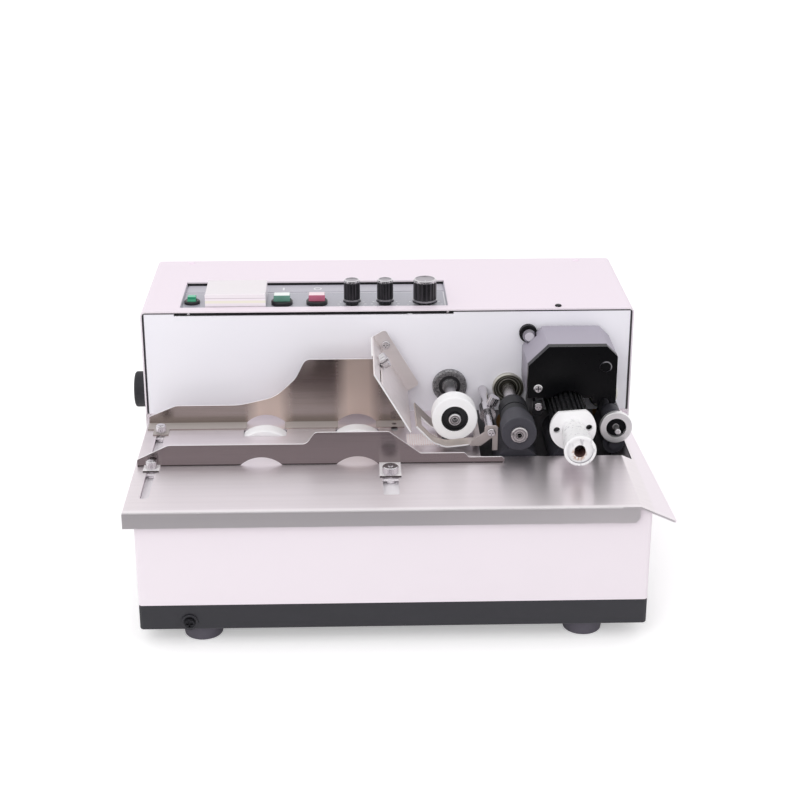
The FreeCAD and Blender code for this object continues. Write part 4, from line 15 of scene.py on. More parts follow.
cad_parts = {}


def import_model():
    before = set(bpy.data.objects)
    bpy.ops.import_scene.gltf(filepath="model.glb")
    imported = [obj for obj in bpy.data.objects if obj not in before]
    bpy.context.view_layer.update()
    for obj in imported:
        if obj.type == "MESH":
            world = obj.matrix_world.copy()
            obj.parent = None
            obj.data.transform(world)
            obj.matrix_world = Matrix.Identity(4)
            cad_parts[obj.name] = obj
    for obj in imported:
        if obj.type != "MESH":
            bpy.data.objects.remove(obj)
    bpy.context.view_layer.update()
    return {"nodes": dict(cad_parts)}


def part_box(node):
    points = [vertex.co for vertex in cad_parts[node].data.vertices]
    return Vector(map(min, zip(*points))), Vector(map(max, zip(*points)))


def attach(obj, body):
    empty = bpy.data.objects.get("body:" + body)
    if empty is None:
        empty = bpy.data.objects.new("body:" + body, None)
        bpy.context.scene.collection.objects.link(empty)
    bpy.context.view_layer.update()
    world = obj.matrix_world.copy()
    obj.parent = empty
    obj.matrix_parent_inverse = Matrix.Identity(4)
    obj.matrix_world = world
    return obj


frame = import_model()
MM = 0.001

# %% [markdown]
# ## Colour and node helpers
#
# Paint charts give colours as sRGB hex values, but Blender's shaders expect linear light, so one
# function converts them. Another adds a shader node, fills in its settings and joins its inputs, which
# keeps each material short enough to read at a glance.

# %% Helpers for colour and nodes
def linear(hex_colour):
    """sRGB hex, such as "C8C0C4", as linear RGBA."""
    channels = [int(hex_colour[i:i + 2], 16) / 255 for i in (0, 2, 4)]
    light = [c / 12.92 if c <= 0.04045 else ((c + 0.055) / 1.055) ** 2.4 for c in channels]
    return (*light, 1.0)


def add_node(tree, kind, settings=None, inputs=None):
    """Add a node. settings are its own fields; inputs, by name or number, are values or sockets to link."""
    node = tree.nodes.new(kind)
    for name, value in (settings or {}).items():
        setattr(node, name, value)
    for name, value in (inputs or {}).items():
        if isinstance(value, bpy.types.NodeSocket):
            tree.links.new(value, node.inputs[name])
        else:
            node.inputs[name].default_value = value
    return node


def new_material(name, colour=None, **shader):
    """Material with one Principled shader; returns the material, its tree and the shader."""
    material = bpy.data.materials.new(name)
    material.use_nodes = True
    tree = material.node_tree
    principled = tree.nodes["Principled BSDF"]
    if colour:
        principled.inputs["Base Color"].default_value = linear(colour)
    for key, value in shader.items():
        principled.inputs[key.replace("_", " ")].default_value = value
    return material, tree, principled


def dress(material, *nodes):
    """Give CAD parts their finish."""
    for node in nodes:
        obj = frame["nodes"][node]
        obj.data.materials.clear()
        obj.data.materials.append(material)


def add_object(name, data):
    """Put a mesh, a lamp or a camera into the scene."""
    item = bpy.data.objects.new(name, data)
    bpy.context.scene.collection.objects.link(item)
    return item


print("helpers ready; mid grey is", [round(v, 3) for v in linear("808080")[:3]])

# %% [markdown]
# ## Surface patterns
#
# Brush lines, the orange peel of powder coat and the fine grain of moulded plastic are all noise, only
# with a different size and stretch. Every pattern is measured in millimetres on the part itself, so it
# rides along when a part moves.

# %% Noise measured in millimetres
# A Mix node has sockets of one name for every kind of data, so they go by number: two inputs, output.
COLOUR_SOCKETS, NUMBER_SOCKETS = (6, 7, 2), (2, 3, 0)


def grain(tree, size_mm, stretch=(1, 1, 1), detail=3.0):
    """Noise whose spots are size_mm across, drawn out by the stretch factors. Returns its value."""
    place = add_node(tree, "ShaderNodeTexCoord")
    squeeze = add_node(tree, "ShaderNodeMapping", inputs={
        "Vector": place.outputs["Object"], "Scale": [1 / factor for factor in stretch]})
    noise = add_node(tree, "ShaderNodeTexNoise", inputs={
        "Vector": squeeze.outputs["Vector"], "Scale": 1 / (size_mm * MM), "Detail": detail,
        "Roughness": 0.55})
    return noise.outputs["Fac"]


def set_pattern(tree, principled, fine, colours=None, cloud=None, roughness=None, depth_mm=0.0, strength=1.0):
    """Let two patterns drive a finish: cloud blends its colours, fine its roughness and relief."""
    if colours:
        first, second, result = COLOUR_SOCKETS
        blend = add_node(tree, "ShaderNodeMix", {"data_type": "RGBA"},
                         {"Factor": cloud or fine, first: linear(colours[0]), second: linear(colours[1])})
        tree.links.new(blend.outputs[result], principled.inputs["Base Color"])
    if roughness:
        low, high = roughness
        spread = add_node(tree, "ShaderNodeMapRange", inputs={
            "Value": fine, "From Min": 0.25, "From Max": 0.75, "To Min": low, "To Max": high})
        tree.links.new(spread.outputs["Result"], principled.inputs["Roughness"])
    if depth_mm:
        relief = add_node(tree, "ShaderNodeBump", inputs={
            "Height": fine, "Distance": depth_mm * MM, "Strength": strength})
        tree.links.new(relief.outputs["Normal"], principled.inputs["Normal"])


print("grain and set_pattern work in millimetres")

# %% [markdown]
# ## Zones on a part
#
# One CAD part often carries more than one finish: a cut edge is brighter than the sheet's face, or a
# bore is rusty. A zone is a number from 0 to 1 that says where such a finish is. It comes from the
# part's own coordinates or normal, so it stays put when the part moves.

# %% Zones along an axis and round one
def past(tree, axis, start_mm, full_mm):
    """Zone that starts along one axis of the part and is full from full_mm on."""
    place = add_node(tree, "ShaderNodeTexCoord")
    split = add_node(tree, "ShaderNodeSeparateXYZ", inputs={"Vector": place.outputs["Object"]})
    return add_node(tree, "ShaderNodeMapRange", inputs={
        "Value": split.outputs[axis], "From Min": start_mm * MM, "From Max": full_mm * MM}).outputs["Result"]


def before(tree, axis, full_mm, end_mm):
    """Zone that is full up to full_mm along one axis of the part and gone from end_mm on."""
    return elsewhere(tree, past(tree, axis, full_mm, end_mm))


def between(tree, axis, start_mm, end_mm, soft_mm):
    """Zone from start_mm along one axis of the part to end_mm, which fades over soft_mm at both."""
    return where_all(tree, past(tree, axis, start_mm, start_mm + soft_mm),
                     before(tree, axis, end_mm, end_mm + soft_mm))


def around(tree, centre, turn_axis, inner_mm, outer_mm, soft_mm=0.2):
    """Ring-shaped zone round an axis of the part. turn_axis is "Y" or "Z"; centre is any point on it."""
    flatten = (1, 0, 1) if turn_axis == "Y" else (1, 1, 0)
    place = add_node(tree, "ShaderNodeTexCoord")
    flat = add_node(tree, "ShaderNodeVectorMath", {"operation": "MULTIPLY"},
                    {0: place.outputs["Object"], 1: flatten})
    reach = add_node(tree, "ShaderNodeVectorMath", {"operation": "DISTANCE"},
                     {0: flat.outputs["Vector"], 1: [c * f for c, f in zip(centre, flatten)]})
    outside = add_node(tree, "ShaderNodeMapRange", inputs={
        "Value": reach.outputs["Value"], "From Min": (inner_mm - soft_mm) * MM, "From Max": inner_mm * MM})
    inside = add_node(tree, "ShaderNodeMapRange", inputs={
        "Value": reach.outputs["Value"], "From Min": outer_mm * MM, "From Max": (outer_mm + soft_mm) * MM,
        "To Min": 1.0, "To Max": 0.0})
    return where_all(tree, outside.outputs["Result"], inside.outputs["Result"])


def facing(tree, direction, either_way=False, start=0.55, full=0.8):
    """Zone of the faces that look along direction, or either way along it."""
    place = add_node(tree, "ShaderNodeTexCoord")
    along = add_node(tree, "ShaderNodeVectorMath", {"operation": "DOT_PRODUCT"},
                     {0: place.outputs["Normal"], 1: Vector(direction).normalized()})
    share = along.outputs["Value"]
    if either_way:
        share = add_node(tree, "ShaderNodeMath", {"operation": "ABSOLUTE"}, {0: share}).outputs["Value"]
    return add_node(tree, "ShaderNodeMapRange", inputs={
        "Value": share, "From Min": start, "From Max": full}).outputs["Result"]


def where_all(tree, *zones):
    """Zone where all of these zones are."""
    result = zones[0]
    for zone in zones[1:]:
        product = add_node(tree, "ShaderNodeMath", {"operation": "MULTIPLY"}, {0: result, 1: zone})
        result = product.outputs["Value"]
    return result


def elsewhere(tree, zone):
    """The rest of the part."""
    return add_node(tree, "ShaderNodeMath", {"operation": "SUBTRACT"}, {0: 1.0, 1: zone}).outputs["Value"]


def centre_of(node):
    """Middle of a CAD part's box, which lies on its axis if it is turned."""
    low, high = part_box(node)
    return (low + high) / 2


def box_mm(node):
    """Lowest and highest corner of a CAD part in millimetres."""
    low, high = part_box(node)
    return low / MM, high / MM


print("zones ready; type wheel axis in mm:", [round(v / MM, 1) for v in centre_of("type_disc")])

# %% [markdown]
# ## A second finish in a zone
#
# This function takes what drives each shader input now, a plain value or a pattern, and mixes the new
# value over it by the zone. So finishes are laid over each other in a painter's order.

# %% Second finishes
def paint_over(material, zone, colour=None, **levels):
    """Lay a second finish over the first inside a zone. levels are shader inputs, such as Roughness."""
    tree = material.node_tree
    principled = tree.nodes["Principled BSDF"]
    changes = {"Base Color": linear(colour)} if colour else {}
    changes.update(levels)
    for name, value in changes.items():
        is_colour = name == "Base Color"
        first, second, result = COLOUR_SOCKETS if is_colour else NUMBER_SOCKETS
        socket = principled.inputs[name]
        present = socket.links[0].from_socket if socket.links else socket.default_value
        mix = add_node(tree, "ShaderNodeMix", {"data_type": "RGBA" if is_colour else "FLOAT"},
                       {"Factor": zone, first: present, second: value})
        tree.links.new(mix.outputs[result], socket)


print("colours are mixed through sockets", COLOUR_SOCKETS)

# %% [markdown]
# ## Painted sheet steel
#
# The base and the housing are folded sheet steel with a white powder coat. Powder melts into a film
# with a faint orange peel, bumps two or three millimetres across, so its highlights are soft and
# slightly broken. Level faces are painted a shade lighter, as painted light from above. The tray under
# the base is dark grey, and the trays under the long slots are plain white.

# %% Powder coat
def powder_coat(name, colour, shade, roughness, peel_mm=2.4, drift_mm=70.0):
    """Coat that drifts slowly from colour to shade, with a fine orange peel."""
    material, tree, principled = new_material(name, Metallic=0.0, IOR=1.5, Roughness=roughness)
    set_pattern(tree, principled, grain(tree, peel_mm, detail=2.0), (colour, shade),
                cloud=grain(tree, drift_mm, detail=2.0), roughness=(roughness - 0.03, roughness + 0.03),
                depth_mm=0.02, strength=0.3)
    return material


white_coat = powder_coat("powder_coat_white", "F1E8EF", "EDE4EB", 0.42)
# Faces that look up are painted lighter: painted light from above.
paint_over(white_coat, facing(white_coat.node_tree, (0, 0, 1)), "F9ECF7")
dress(white_coat, "base_shell", "housing_cover")
dress(powder_coat("powder_coat_slot_trays", "FFFDFF", "FBF8FC", 0.4), "slot_trays")
dress(powder_coat("powder_coat_dark_grey", "232328", "2A2930", 0.5), "base_tray")
print("painted: base, housing and trays")

# %% [markdown]
# ## Front and rear panel
#
# The two panels are a cooler white than the folded cover. The front panel is let into the cover, and
# the gap round it lies in shade, painted here as a dark narrow zone along its two sides and its top.

# %% Cool white panels
cool_coat = powder_coat("powder_coat_cool_white", "FAF8FE", "F5F3FB", 0.36)
cool_tree = cool_coat.node_tree
face_low, face_high = box_mm("front_panel")
side_mm, top_mm, soft_mm = 0.9, 1.3, 0.2
near_front = before(cool_tree, "Y", 60.0, 61.0)
# The dark line is painted shade in the gap between the panel and the cover.
for line in (past(cool_tree, "X", face_high.x - side_mm - soft_mm, face_high.x - side_mm),
             before(cool_tree, "X", face_low.x + side_mm, face_low.x + side_mm + soft_mm),
             past(cool_tree, "Z", face_high.z - top_mm - soft_mm, face_high.z - top_mm)):
    paint_over(cool_coat, where_all(cool_tree, line, near_front), "3C3A3F", Roughness=0.6)
dress(cool_coat, "front_panel", "rear_panel")
print("panels painted; the front one ends at x =", round(face_high.x, 1), "mm")

# %% [markdown]
# ## Brushed stainless steel
#
# The table and the guides are 304 stainless with a brushed finish. The belt that brushed the sheet ran
# along it, so the lines run along X. Real lines are about 0.1 mm apart, too fine for one pixel, and are
# drawn 0.6 mm apart here. They smear each reflection across the lines, which is what tells brushed
# steel from plain grey paint, so the shader's highlight is stretched that way as well: its tangent
# lies across the lines, along Y on the table and along Z on upright sheets.
#
# On the table, paper has rubbed the end beside the rollers smoother. The folded front lip is painted
# darker and greyer, a painted reflection of the dark operator's side; its right part is painted lighter
# as a painted sheen, and its bend carries a painted highlight. The chute at the right end is a paler
# sheet.

# %% Brushed steel and the table
def brushed_steel(name, colour, shade, roughness, stretched=0.7, line_mm=0.6, band_mm=5.0, depth_mm=0.003,
                  metallic=1.0):
    """Sheet brushed along X: fine lines in the relief, wider bands in the shade."""
    material, tree, principled = new_material(name, Metallic=metallic, Anisotropic=stretched)
    lines = grain(tree, line_mm, stretch=(90, 1, 1), detail=4.0)
    bands = grain(tree, band_mm, stretch=(40, 1, 1))
    set_pattern(tree, principled, lines, (colour, shade), cloud=bands,
                roughness=(roughness - 0.05, roughness + 0.07), depth_mm=depth_mm)
    across = add_node(tree, "ShaderNodeCombineXYZ", inputs={"X": 0.0, "Y": 0.7, "Z": 0.7})
    tree.links.new(across.outputs["Vector"], principled.inputs["Tangent"])
    return material


table_steel = brushed_steel("brushed_stainless_table", "F4ECF0", "EAE2E6", 0.4)
table_tree = table_steel.node_tree
table_low, table_high = box_mm("table_plate")
rubbed_end = past(table_tree, "X", 60.0, 100.0)
front_lip = where_all(table_tree, facing(table_tree, (0, -1, 0)),
                      before(table_tree, "Y", table_low.y + 1.5, table_low.y + 2.0))
lip_sheen = where_all(table_tree, front_lip, past(table_tree, "X", 20.0, 150.0))
lip_bend_highlight = where_all(table_tree, facing(table_tree, (0, -0.7, 0.7)),
                     before(table_tree, "Y", table_low.y + 4.0, table_low.y + 4.5))
chute = past(table_tree, "X", 184.0, 187.0)
paint_over(table_steel, rubbed_end, Roughness=0.3)
# The lip is painted darker as a painted reflection, its right part lighter as a painted sheen, and its bend
# near white as a painted highlight.
paint_over(table_steel, front_lip, "9B9499")
paint_over(table_steel, lip_sheen, "D6CED3")
paint_over(table_steel, chute, "F6EEF4", Roughness=0.45)
paint_over(table_steel, lip_bend_highlight, "FFFAFD", Roughness=0.6)
dress(table_steel, "table_plate")
print("table brushed; its top is at z =", round(table_high.z, 1), "mm")

# %% [markdown]
# ## Paper guides
#
# Both guides are bent from thinner sheet with a smoother brush, so they mirror more and look darker,
# and the front guide is painted darker still as painted shade. Their level faces are dull. Their top
# edges and the front guide's foot carry a painted highlight, a line of painted shadow lies where the
# front guide meets the table, and two warm, duller bands on the rear guide are painted reflections of
# the feed wheels.

# %% Rear and front guide
guide_steel = brushed_steel("brushed_stainless_guides", "B9AFAC", "A0968F", 0.19, depth_mm=0.0012)
guide_tree = guide_steel.node_tree
upright = facing(guide_tree, (0, 1, 0), either_way=True)
level = elsewhere(guide_tree, upright)
front_leaf = before(guide_tree, "Y", -60.0, -59.0)
rear_leaf = past(guide_tree, "Y", -60.0, -55.0)
# The front guide is painted darker than the rear one: painted shade.
paint_over(guide_steel, front_leaf, "958B8C")
paint_over(guide_steel, level, "C4BCB9", Roughness=0.5, Metallic=0.5)
# Top edges and the front guide's foot are painted near white: painted highlights.
top_edge_highlight = where_all(guide_tree, level, past(guide_tree, "Z", table_high.z + 2.2, table_high.z + 2.4))
foot_highlight = where_all(guide_tree, level, front_leaf)
for bright in (top_edge_highlight, foot_highlight):
    paint_over(guide_steel, bright, "FFFBFD", Roughness=0.55, Metallic=0.4)
# A line of painted shadow where the front guide meets the table.
foot_contact_shadow = where_all(guide_tree, front_leaf, upright,
                      before(guide_tree, "Z", table_high.z + 0.7, table_high.z + 1.2))
paint_over(guide_steel, foot_contact_shadow, "4A4445")
# Two warm bands on the rear guide are painted reflections of the feed wheels.
for start_mm, end_mm in ((-115.0, -87.0), (-44.0, -16.0)):
    wheel_reflection = between(guide_tree, "X", start_mm, end_mm, 12.0)
    paint_over(guide_steel, where_all(guide_tree, upright, rear_leaf, wheel_reflection), "F9E6DB", Roughness=0.46)
dress(guide_steel, "rear_guide", "front_guide")
print("rear and front guide brushed")

# %% [markdown]
# ## Gate and curved guide
#
# The slanted gate, its bracket and the curved guide are matt brushed sheet, which hardly mirrors. Their
# edges carry a painted highlight. All but the bracket's face the operator.

# %% Gate, bracket and curved guide
def gate_finish(name, light, dark, edges_face_y=True):
    """Matt brushed sheet with a painted highlight on its edges, which face -Y and +Y unless the sheet itself
    does.
    """
    material = brushed_steel(name, light, dark, 0.5, stretched=0.4, line_mm=0.4, depth_mm=0.0005,
                             metallic=0.85)
    tree = material.node_tree
    edges = facing(tree, (0, 1, 0), either_way=True)
    if not edges_face_y:
        edges = elsewhere(tree, edges)
    # The edges are painted near white and less metallic: a painted highlight.
    paint_over(material, edges, "FFFDFF", Roughness=0.55, Metallic=0.3)
    return material


dress(gate_finish("brushed_stainless_leaf", "FBF4F4", "EFE8E8"), "gate_plate")
dress(gate_finish("brushed_stainless_tab", "FBF4F4", "EFE8E8", edges_face_y=False), "gate_bracket")
curved_steel = gate_finish("brushed_stainless_curved_guide", "D3C9C4", "C6BCB6")
clamped_ear = past(curved_steel.node_tree, "X", 58.5, 60.0)
paint_over(curved_steel, clamped_ear, "CDC3C1", Roughness=0.45, Metallic=0.7)
dress(curved_steel, "curved_guide")
print("gate, bracket and curved guide brushed matt")

# %% [markdown]
# ## Bright steel
#
# Shafts are ground, and the screws, nuts and clamps nickel plated. Both are plain metals: full
# metallic, a light colour and low roughness, with fine rings from the lathe round the turned ones. A
# shaft's end face has a centre hole, where the lathe held it, painted dark as the shade inside it, and
# dull rings round that. The outfeed shaft's end ring is painted paler and less metallic.

# %% Ground shafts
def bright_steel(name, colour, roughness, metallic=1.0, ring_mm=0.5):
    """Plain bright metal with faint lathe rings round Y."""
    material, tree, principled = new_material(name, colour, Metallic=metallic)
    rings = grain(tree, ring_mm, stretch=(6, 1, 6), detail=2.0)
    set_pattern(tree, principled, rings, roughness=(roughness - 0.05, roughness + 0.08), depth_mm=0.003)
    return material


def end_face(material, node, rings):
    """Dull and dark rings on the front face of a shaft."""
    tree = material.node_tree
    front = facing(tree, (0, -1, 0))
    for inner_mm, outer_mm, colour in rings:
        ring = around(tree, centre_of(node), "Y", inner_mm, outer_mm)
        paint_over(material, where_all(tree, front, ring), colour, Roughness=0.45)


separator_steel = bright_steel("ground_steel_separator", "E6E4E6", 0.3)
# The first zone, from the axis out, is the centre hole, painted dark as the shade inside it.
end_face(separator_steel, "separator_shaft",
         [(0.0, 0.9, "1A1A1C"), (1.6, 2.1, "6A6868"), (3.0, 3.4, "7A7878")])
dress(separator_steel, "separator_shaft")
press_steel = bright_steel("ground_steel_press", "CFCBCC", 0.26)
end_face(press_steel, "press_shaft",
         [(0.0, 1.7, "1D1D20"), (2.4, 3.0, "8C888A"), (4.6, 5.0, "908C90"), (6.4, 7.0, "55535A")])
dress(press_steel, "press_shaft")
outfeed_steel = bright_steel("ground_steel_outfeed", "E9E7E9", 0.34)
# The end ring is painted paler and less metallic.
end_ring = around(outfeed_steel.node_tree, centre_of("outfeed_shaft"), "Y", 7.6, 14.0)
paint_over(outfeed_steel, end_ring, "F4F2F4", Metallic=0.7)
end_face(outfeed_steel, "outfeed_shaft", [(2.6, 7.6, "252528")])
dress(outfeed_steel, "outfeed_shaft", "type_shaft")
print("shafts ground: separator, press, type wheel and outfeed")

# %% [markdown]
# ## Nuts, motor, heater block and frame
#
# The clamping nuts are nickel plated, and their keepers below the table are dull zinc. The motor and the
# heater block are zinc plated. Two things on the block show outside the black cover: the bright screw
# that holds the cover, its cross drawn as two dark arms of painted shade, and a blackened lug beside the
# pivot. The frame behind the panel has a plain grey coat.

# %% Plated parts and frame
nickel_plate = bright_steel("nickel_plated_screws", "DAD7DA", 0.16)
nickel_tree = nickel_plate.node_tree
below_table = before(nickel_tree, "Z", table_high.z - 0.7, table_high.z - 0.4)
paint_over(nickel_plate, below_table, "F6F2F5", Roughness=0.5, Metallic=0.2)
dress(nickel_plate, "rear_guide_nuts", "front_guide_nuts", "gate_screws", "guide_rod")

zinc_plate = bright_steel("zinc_plated_motor", "B4B7BA", 0.38)
zinc_tree = zinc_plate.node_tree
screw_head = before(zinc_tree, "Y", -27.6, -27.4)
paint_over(zinc_plate, screw_head, "F4F2F4", Roughness=0.25)
screw_mm = {"X": 114.7, "Z": 149.3}
# The cross recess is painted dark: painted shade inside it.
for long_way, short_way in (("X", "Z"), ("Z", "X")):
    along, across = screw_mm[long_way], screw_mm[short_way]
    arm = where_all(zinc_tree, between(zinc_tree, long_way, along - 2.3, along + 2.1, 0.2),
                    between(zinc_tree, short_way, across - 0.5, across + 0.4, 0.1))
    paint_over(zinc_plate, where_all(zinc_tree, screw_head, arm), "55535A")
lug_side = where_all(zinc_tree, past(zinc_tree, "Z", 166.0, 166.5), before(zinc_tree, "X", 122.0, 122.5),
                     past(zinc_tree, "Y", 10.0, 10.5))
paint_over(zinc_plate, lug_side, "0C0C0E", Roughness=0.5, Metallic=0.0)
dress(zinc_plate, "gear_motor", "heater_block", "motor_pulley")
dress(powder_coat("powder_coat_frame_grey", "8C8A8F", "828085", 0.45), "inner_frame")
print("nuts and motor plated; cover screw at x =", screw_mm["X"], "mm")

# %% [markdown]
# ## Collars and the pivot nut
#
# Where a shaft leaves the front panel it runs through a steel collar. The press shaft's collar is
# turned in steps, with painted shade in its corners. The separator's is knurled, a rough speckle at this
# distance. The ink head swings on a plated dome nut in a black washer; the dome has a painted highlight
# at its middle and a ring of painted shade at its edge.

# %% Turned and knurled collars
collar_steel = bright_steel("knurled_steel_collars", "C9C7BE", 0.34, metallic=0.8)
collar_tree = collar_steel.node_tree
press_axis, separator_axis = centre_of("press_shaft"), centre_of("separator_shaft")
# Dark rings on the press collar are painted shade in the corners of its steps.
for inner_mm, outer_mm, colour in ((10.4, 11.4, "6F6D63"), (8.2, 9.4, "5C5A50"), (0.0, 7.0, "4A483F")):
    paint_over(collar_steel, around(collar_tree, press_axis, "Y", inner_mm, outer_mm, 0.4), colour)
knurl = add_node(collar_tree, "ShaderNodeMapRange", inputs={
    "Value": grain(collar_tree, 1.6, detail=5.0), "From Min": 0.4, "From Max": 0.6}).outputs["Result"]
knurled = around(collar_tree, separator_axis, "Y", 0.0, 14.5)
paint_over(collar_steel, knurled, "ABAAAC", Roughness=0.5)
paint_over(collar_steel, where_all(collar_tree, knurled, knurl), "747376")
paint_over(collar_steel, around(collar_tree, separator_axis, "Y", 6.5, 8.5, 0.6), "3E3D40")
dress(collar_steel, "panel_collars")

pivot_plate = bright_steel("nickel_plated_dome_nut", "DCDADC", 0.12)
pivot_tree, pivot_axis = pivot_plate.node_tree, centre_of("pivot_nut")
# A painted highlight in the dome's middle.
paint_over(pivot_plate, around(pivot_tree, pivot_axis, "Y", 0.0, 3.4, 0.4), "F8F6F9", Metallic=0.6)
# A ring of painted shade at the dome's edge.
paint_over(pivot_plate, around(pivot_tree, pivot_axis, "Y", 4.2, 5.4, 0.4), "8A878D")
paint_over(pivot_plate, around(pivot_tree, pivot_axis, "Y", 5.4, 12.0), "0C0C0E", Roughness=0.5, Metallic=0.0)
dress(pivot_plate, "pivot_nut")
print("collars turned; pivot nut at x =", round(pivot_axis.x / MM, 1), "mm")

# %% [markdown]
# ## Rubber and plastic
#
# Rollers are black nitrile rubber, ground to size and matt, and the wheels that touch the paper first
# are white silicone. The pressing roller's rear half is painted darker. All have a fine grain that
# breaks up the highlight, and a slow change of shade that keeps them from looking like one flat colour.

# %% Moulded plastics and rubbers
def moulded(name, colour, shade, roughness, grain_mm=0.8, depth_mm=0.01, cloud_mm=9.0, **shader):
    """Plastic or rubber with a fine grain and a slow change from colour to shade."""
    material, tree, principled = new_material(name, Metallic=0.0, IOR=1.5, **shader)
    set_pattern(tree, principled, grain(tree, grain_mm), (colour, shade), cloud=grain(tree, cloud_mm),
                roughness=(roughness - 0.04, roughness + 0.04), depth_mm=depth_mm, strength=0.5)
    return material


white_rubber = moulded("white_silicone_rubber", "FFFEFF", "FAF9FC", 0.55)
phenolic = moulded("moulded_phenolic", "1B1B1E", "222226", 0.35)
dress(white_rubber, "feed_wheel_left", "feed_wheel_right", "separator_wheel")
dress(phenolic, "switch_bodies", "power_inlet", "separator_hub", "ink_bracket")
dress(moulded("moulded_foot_rubber", "54505A", "5C5862", 0.7), "rubber_feet")
dress(moulded("moulded_grip_rubber", "26262A", "2E2D32", 0.65), "side_knob")
dress(moulded("chloroprene_belt", "2A2A2C", "242426", 0.7), "drive_belts")
dress(moulded("ink_felt", "17161A", "201E24", 0.95, grain_mm=0.4, depth_mm=0.1), "ink_roll")
dress(moulded("sintered_bronze", "8A6A45", "7C5E3C", 0.5), "shaft_bushes")
dress(moulded("glass_epoxy_board", "1F5B3A", "245F3E", 0.4), "control_board")

roller_rubber = moulded("ground_nitrile_rubber", "44434B", "3A3941", 0.6)
roller_tree = roller_rubber.node_tree
# The press roller's rear half is painted darker.
press_rear_half = where_all(roller_tree, past(roller_tree, "Y", -46.0, -45.6),
                            past(roller_tree, "X", 82.0, 82.2), before(roller_tree, "X", 110.0, 110.4),
                            past(roller_tree, "Z", 116.0, 116.4))
paint_over(roller_rubber, press_rear_half, "232327")
dress(roller_rubber, "lower_feed_roller", "lower_pull_roller", "impression_roller", "lower_outfeed_roller",
      "press_roller", "outfeed_roller")
print("plastic and rubber parts dressed")

# %% [markdown]
# ## Friction pad
#
# The separator wheel presses the lowest sheet on a silicone pad. Its ribs are in the CAD part, and rows
# of small pips, which look pinker, are drawn here. A cell pattern with almost no randomness gives such
# rows: its distance is least at each pip's middle.

# %% Pips of the pad
PIP_PITCH_MM = 1.7
pad_rubber = moulded("ribbed_silicone_pad", "FFFCFD", "FFF6F8", 0.6)
pad_tree = pad_rubber.node_tree
pips = add_node(pad_tree, "ShaderNodeTexVoronoi", inputs={
    "Vector": add_node(pad_tree, "ShaderNodeTexCoord").outputs["Object"], "Scale": 1 / (PIP_PITCH_MM * MM),
    "Randomness": 0.1})
pip_zone = add_node(pad_tree, "ShaderNodeMapRange", inputs={
    "Value": pips.outputs["Distance"], "From Min": 0.2, "From Max": 0.3, "To Min": 1.0, "To Max": 0.0})
paint_over(pad_rubber, pip_zone.outputs["Result"], "F4DAD6")
dress(pad_rubber, "friction_pad")
print("pad has pips every", PIP_PITCH_MM, "mm")

# %% [markdown]
# ## Ink head cover
#
# The ink head's cover is moulded in satin black ABS. Its front is plain black; the top and the sloping
# sides are a little rougher and painted grey-violet, lighter towards the top, as a painted reflection of
# the bright room above. A narrow grey painted highlight runs round the front's edge, and a painted
# highlight marks an arc of an embossed ring near its upper right corner.

# %% Satin cover
cover_front_mm = box_mm("ink_cover")[0].y
cover_abs = moulded("satin_abs_cover", "08080A", "0B0B0E", 0.3, grain_mm=2.0, depth_mm=0.003, cloud_mm=30.0,
                    Specular_IOR_Level=0.2)
cover_tree = cover_abs.node_tree
cover_front = facing(cover_tree, (0, -1, 0))
cover_sides = elsewhere(cover_tree, cover_front)
# The top and sides are painted grey-violet, lighter towards the top: a painted reflection of the room above.
painted_reflection = where_all(cover_tree, cover_sides, past(cover_tree, "Y", cover_front_mm + 6.5, cover_front_mm + 7.5))
reflection_rise = past(cover_tree, "Z", 130.0, 185.0)
paint_over(cover_abs, painted_reflection, "6E6A73", Roughness=0.42)
paint_over(cover_abs, where_all(cover_tree, painted_reflection, reflection_rise), "B4AEBC")
# A narrow painted highlight round the front's edge.
front_edge_highlight = where_all(cover_tree, cover_sides,
                       before(cover_tree, "Y", cover_front_mm + 0.7, cover_front_mm + 0.9))
paint_over(cover_abs, front_edge_highlight, "55535C")
# A painted highlight on an arc of the embossed ring.
emboss_centre = Vector((166.7, 0, 166.1)) * MM
emboss_highlight = where_all(cover_tree, cover_front, around(cover_tree, emboss_centre, "Y", 4.0, 4.6),
                      past(cover_tree, "X", 163.5, 166.0), past(cover_tree, "Z", 163.0, 165.5))
paint_over(cover_abs, emboss_highlight, "8A888D")
dress(cover_abs, "ink_cover")
print("cover front at y =", round(cover_front_mm, 1), "mm")

# %% [markdown]
# ## Type wheel
#
# The type wheel's clamping disc and its long hub are cast zinc with white enamel. Years of hands and
# dropped type leave short grey scuffs on the hub, the wall inside its mouth is painted grey as its
# shade, and the bore is bare and rusty. The rubber type on the drum is black, with faint glyphs.

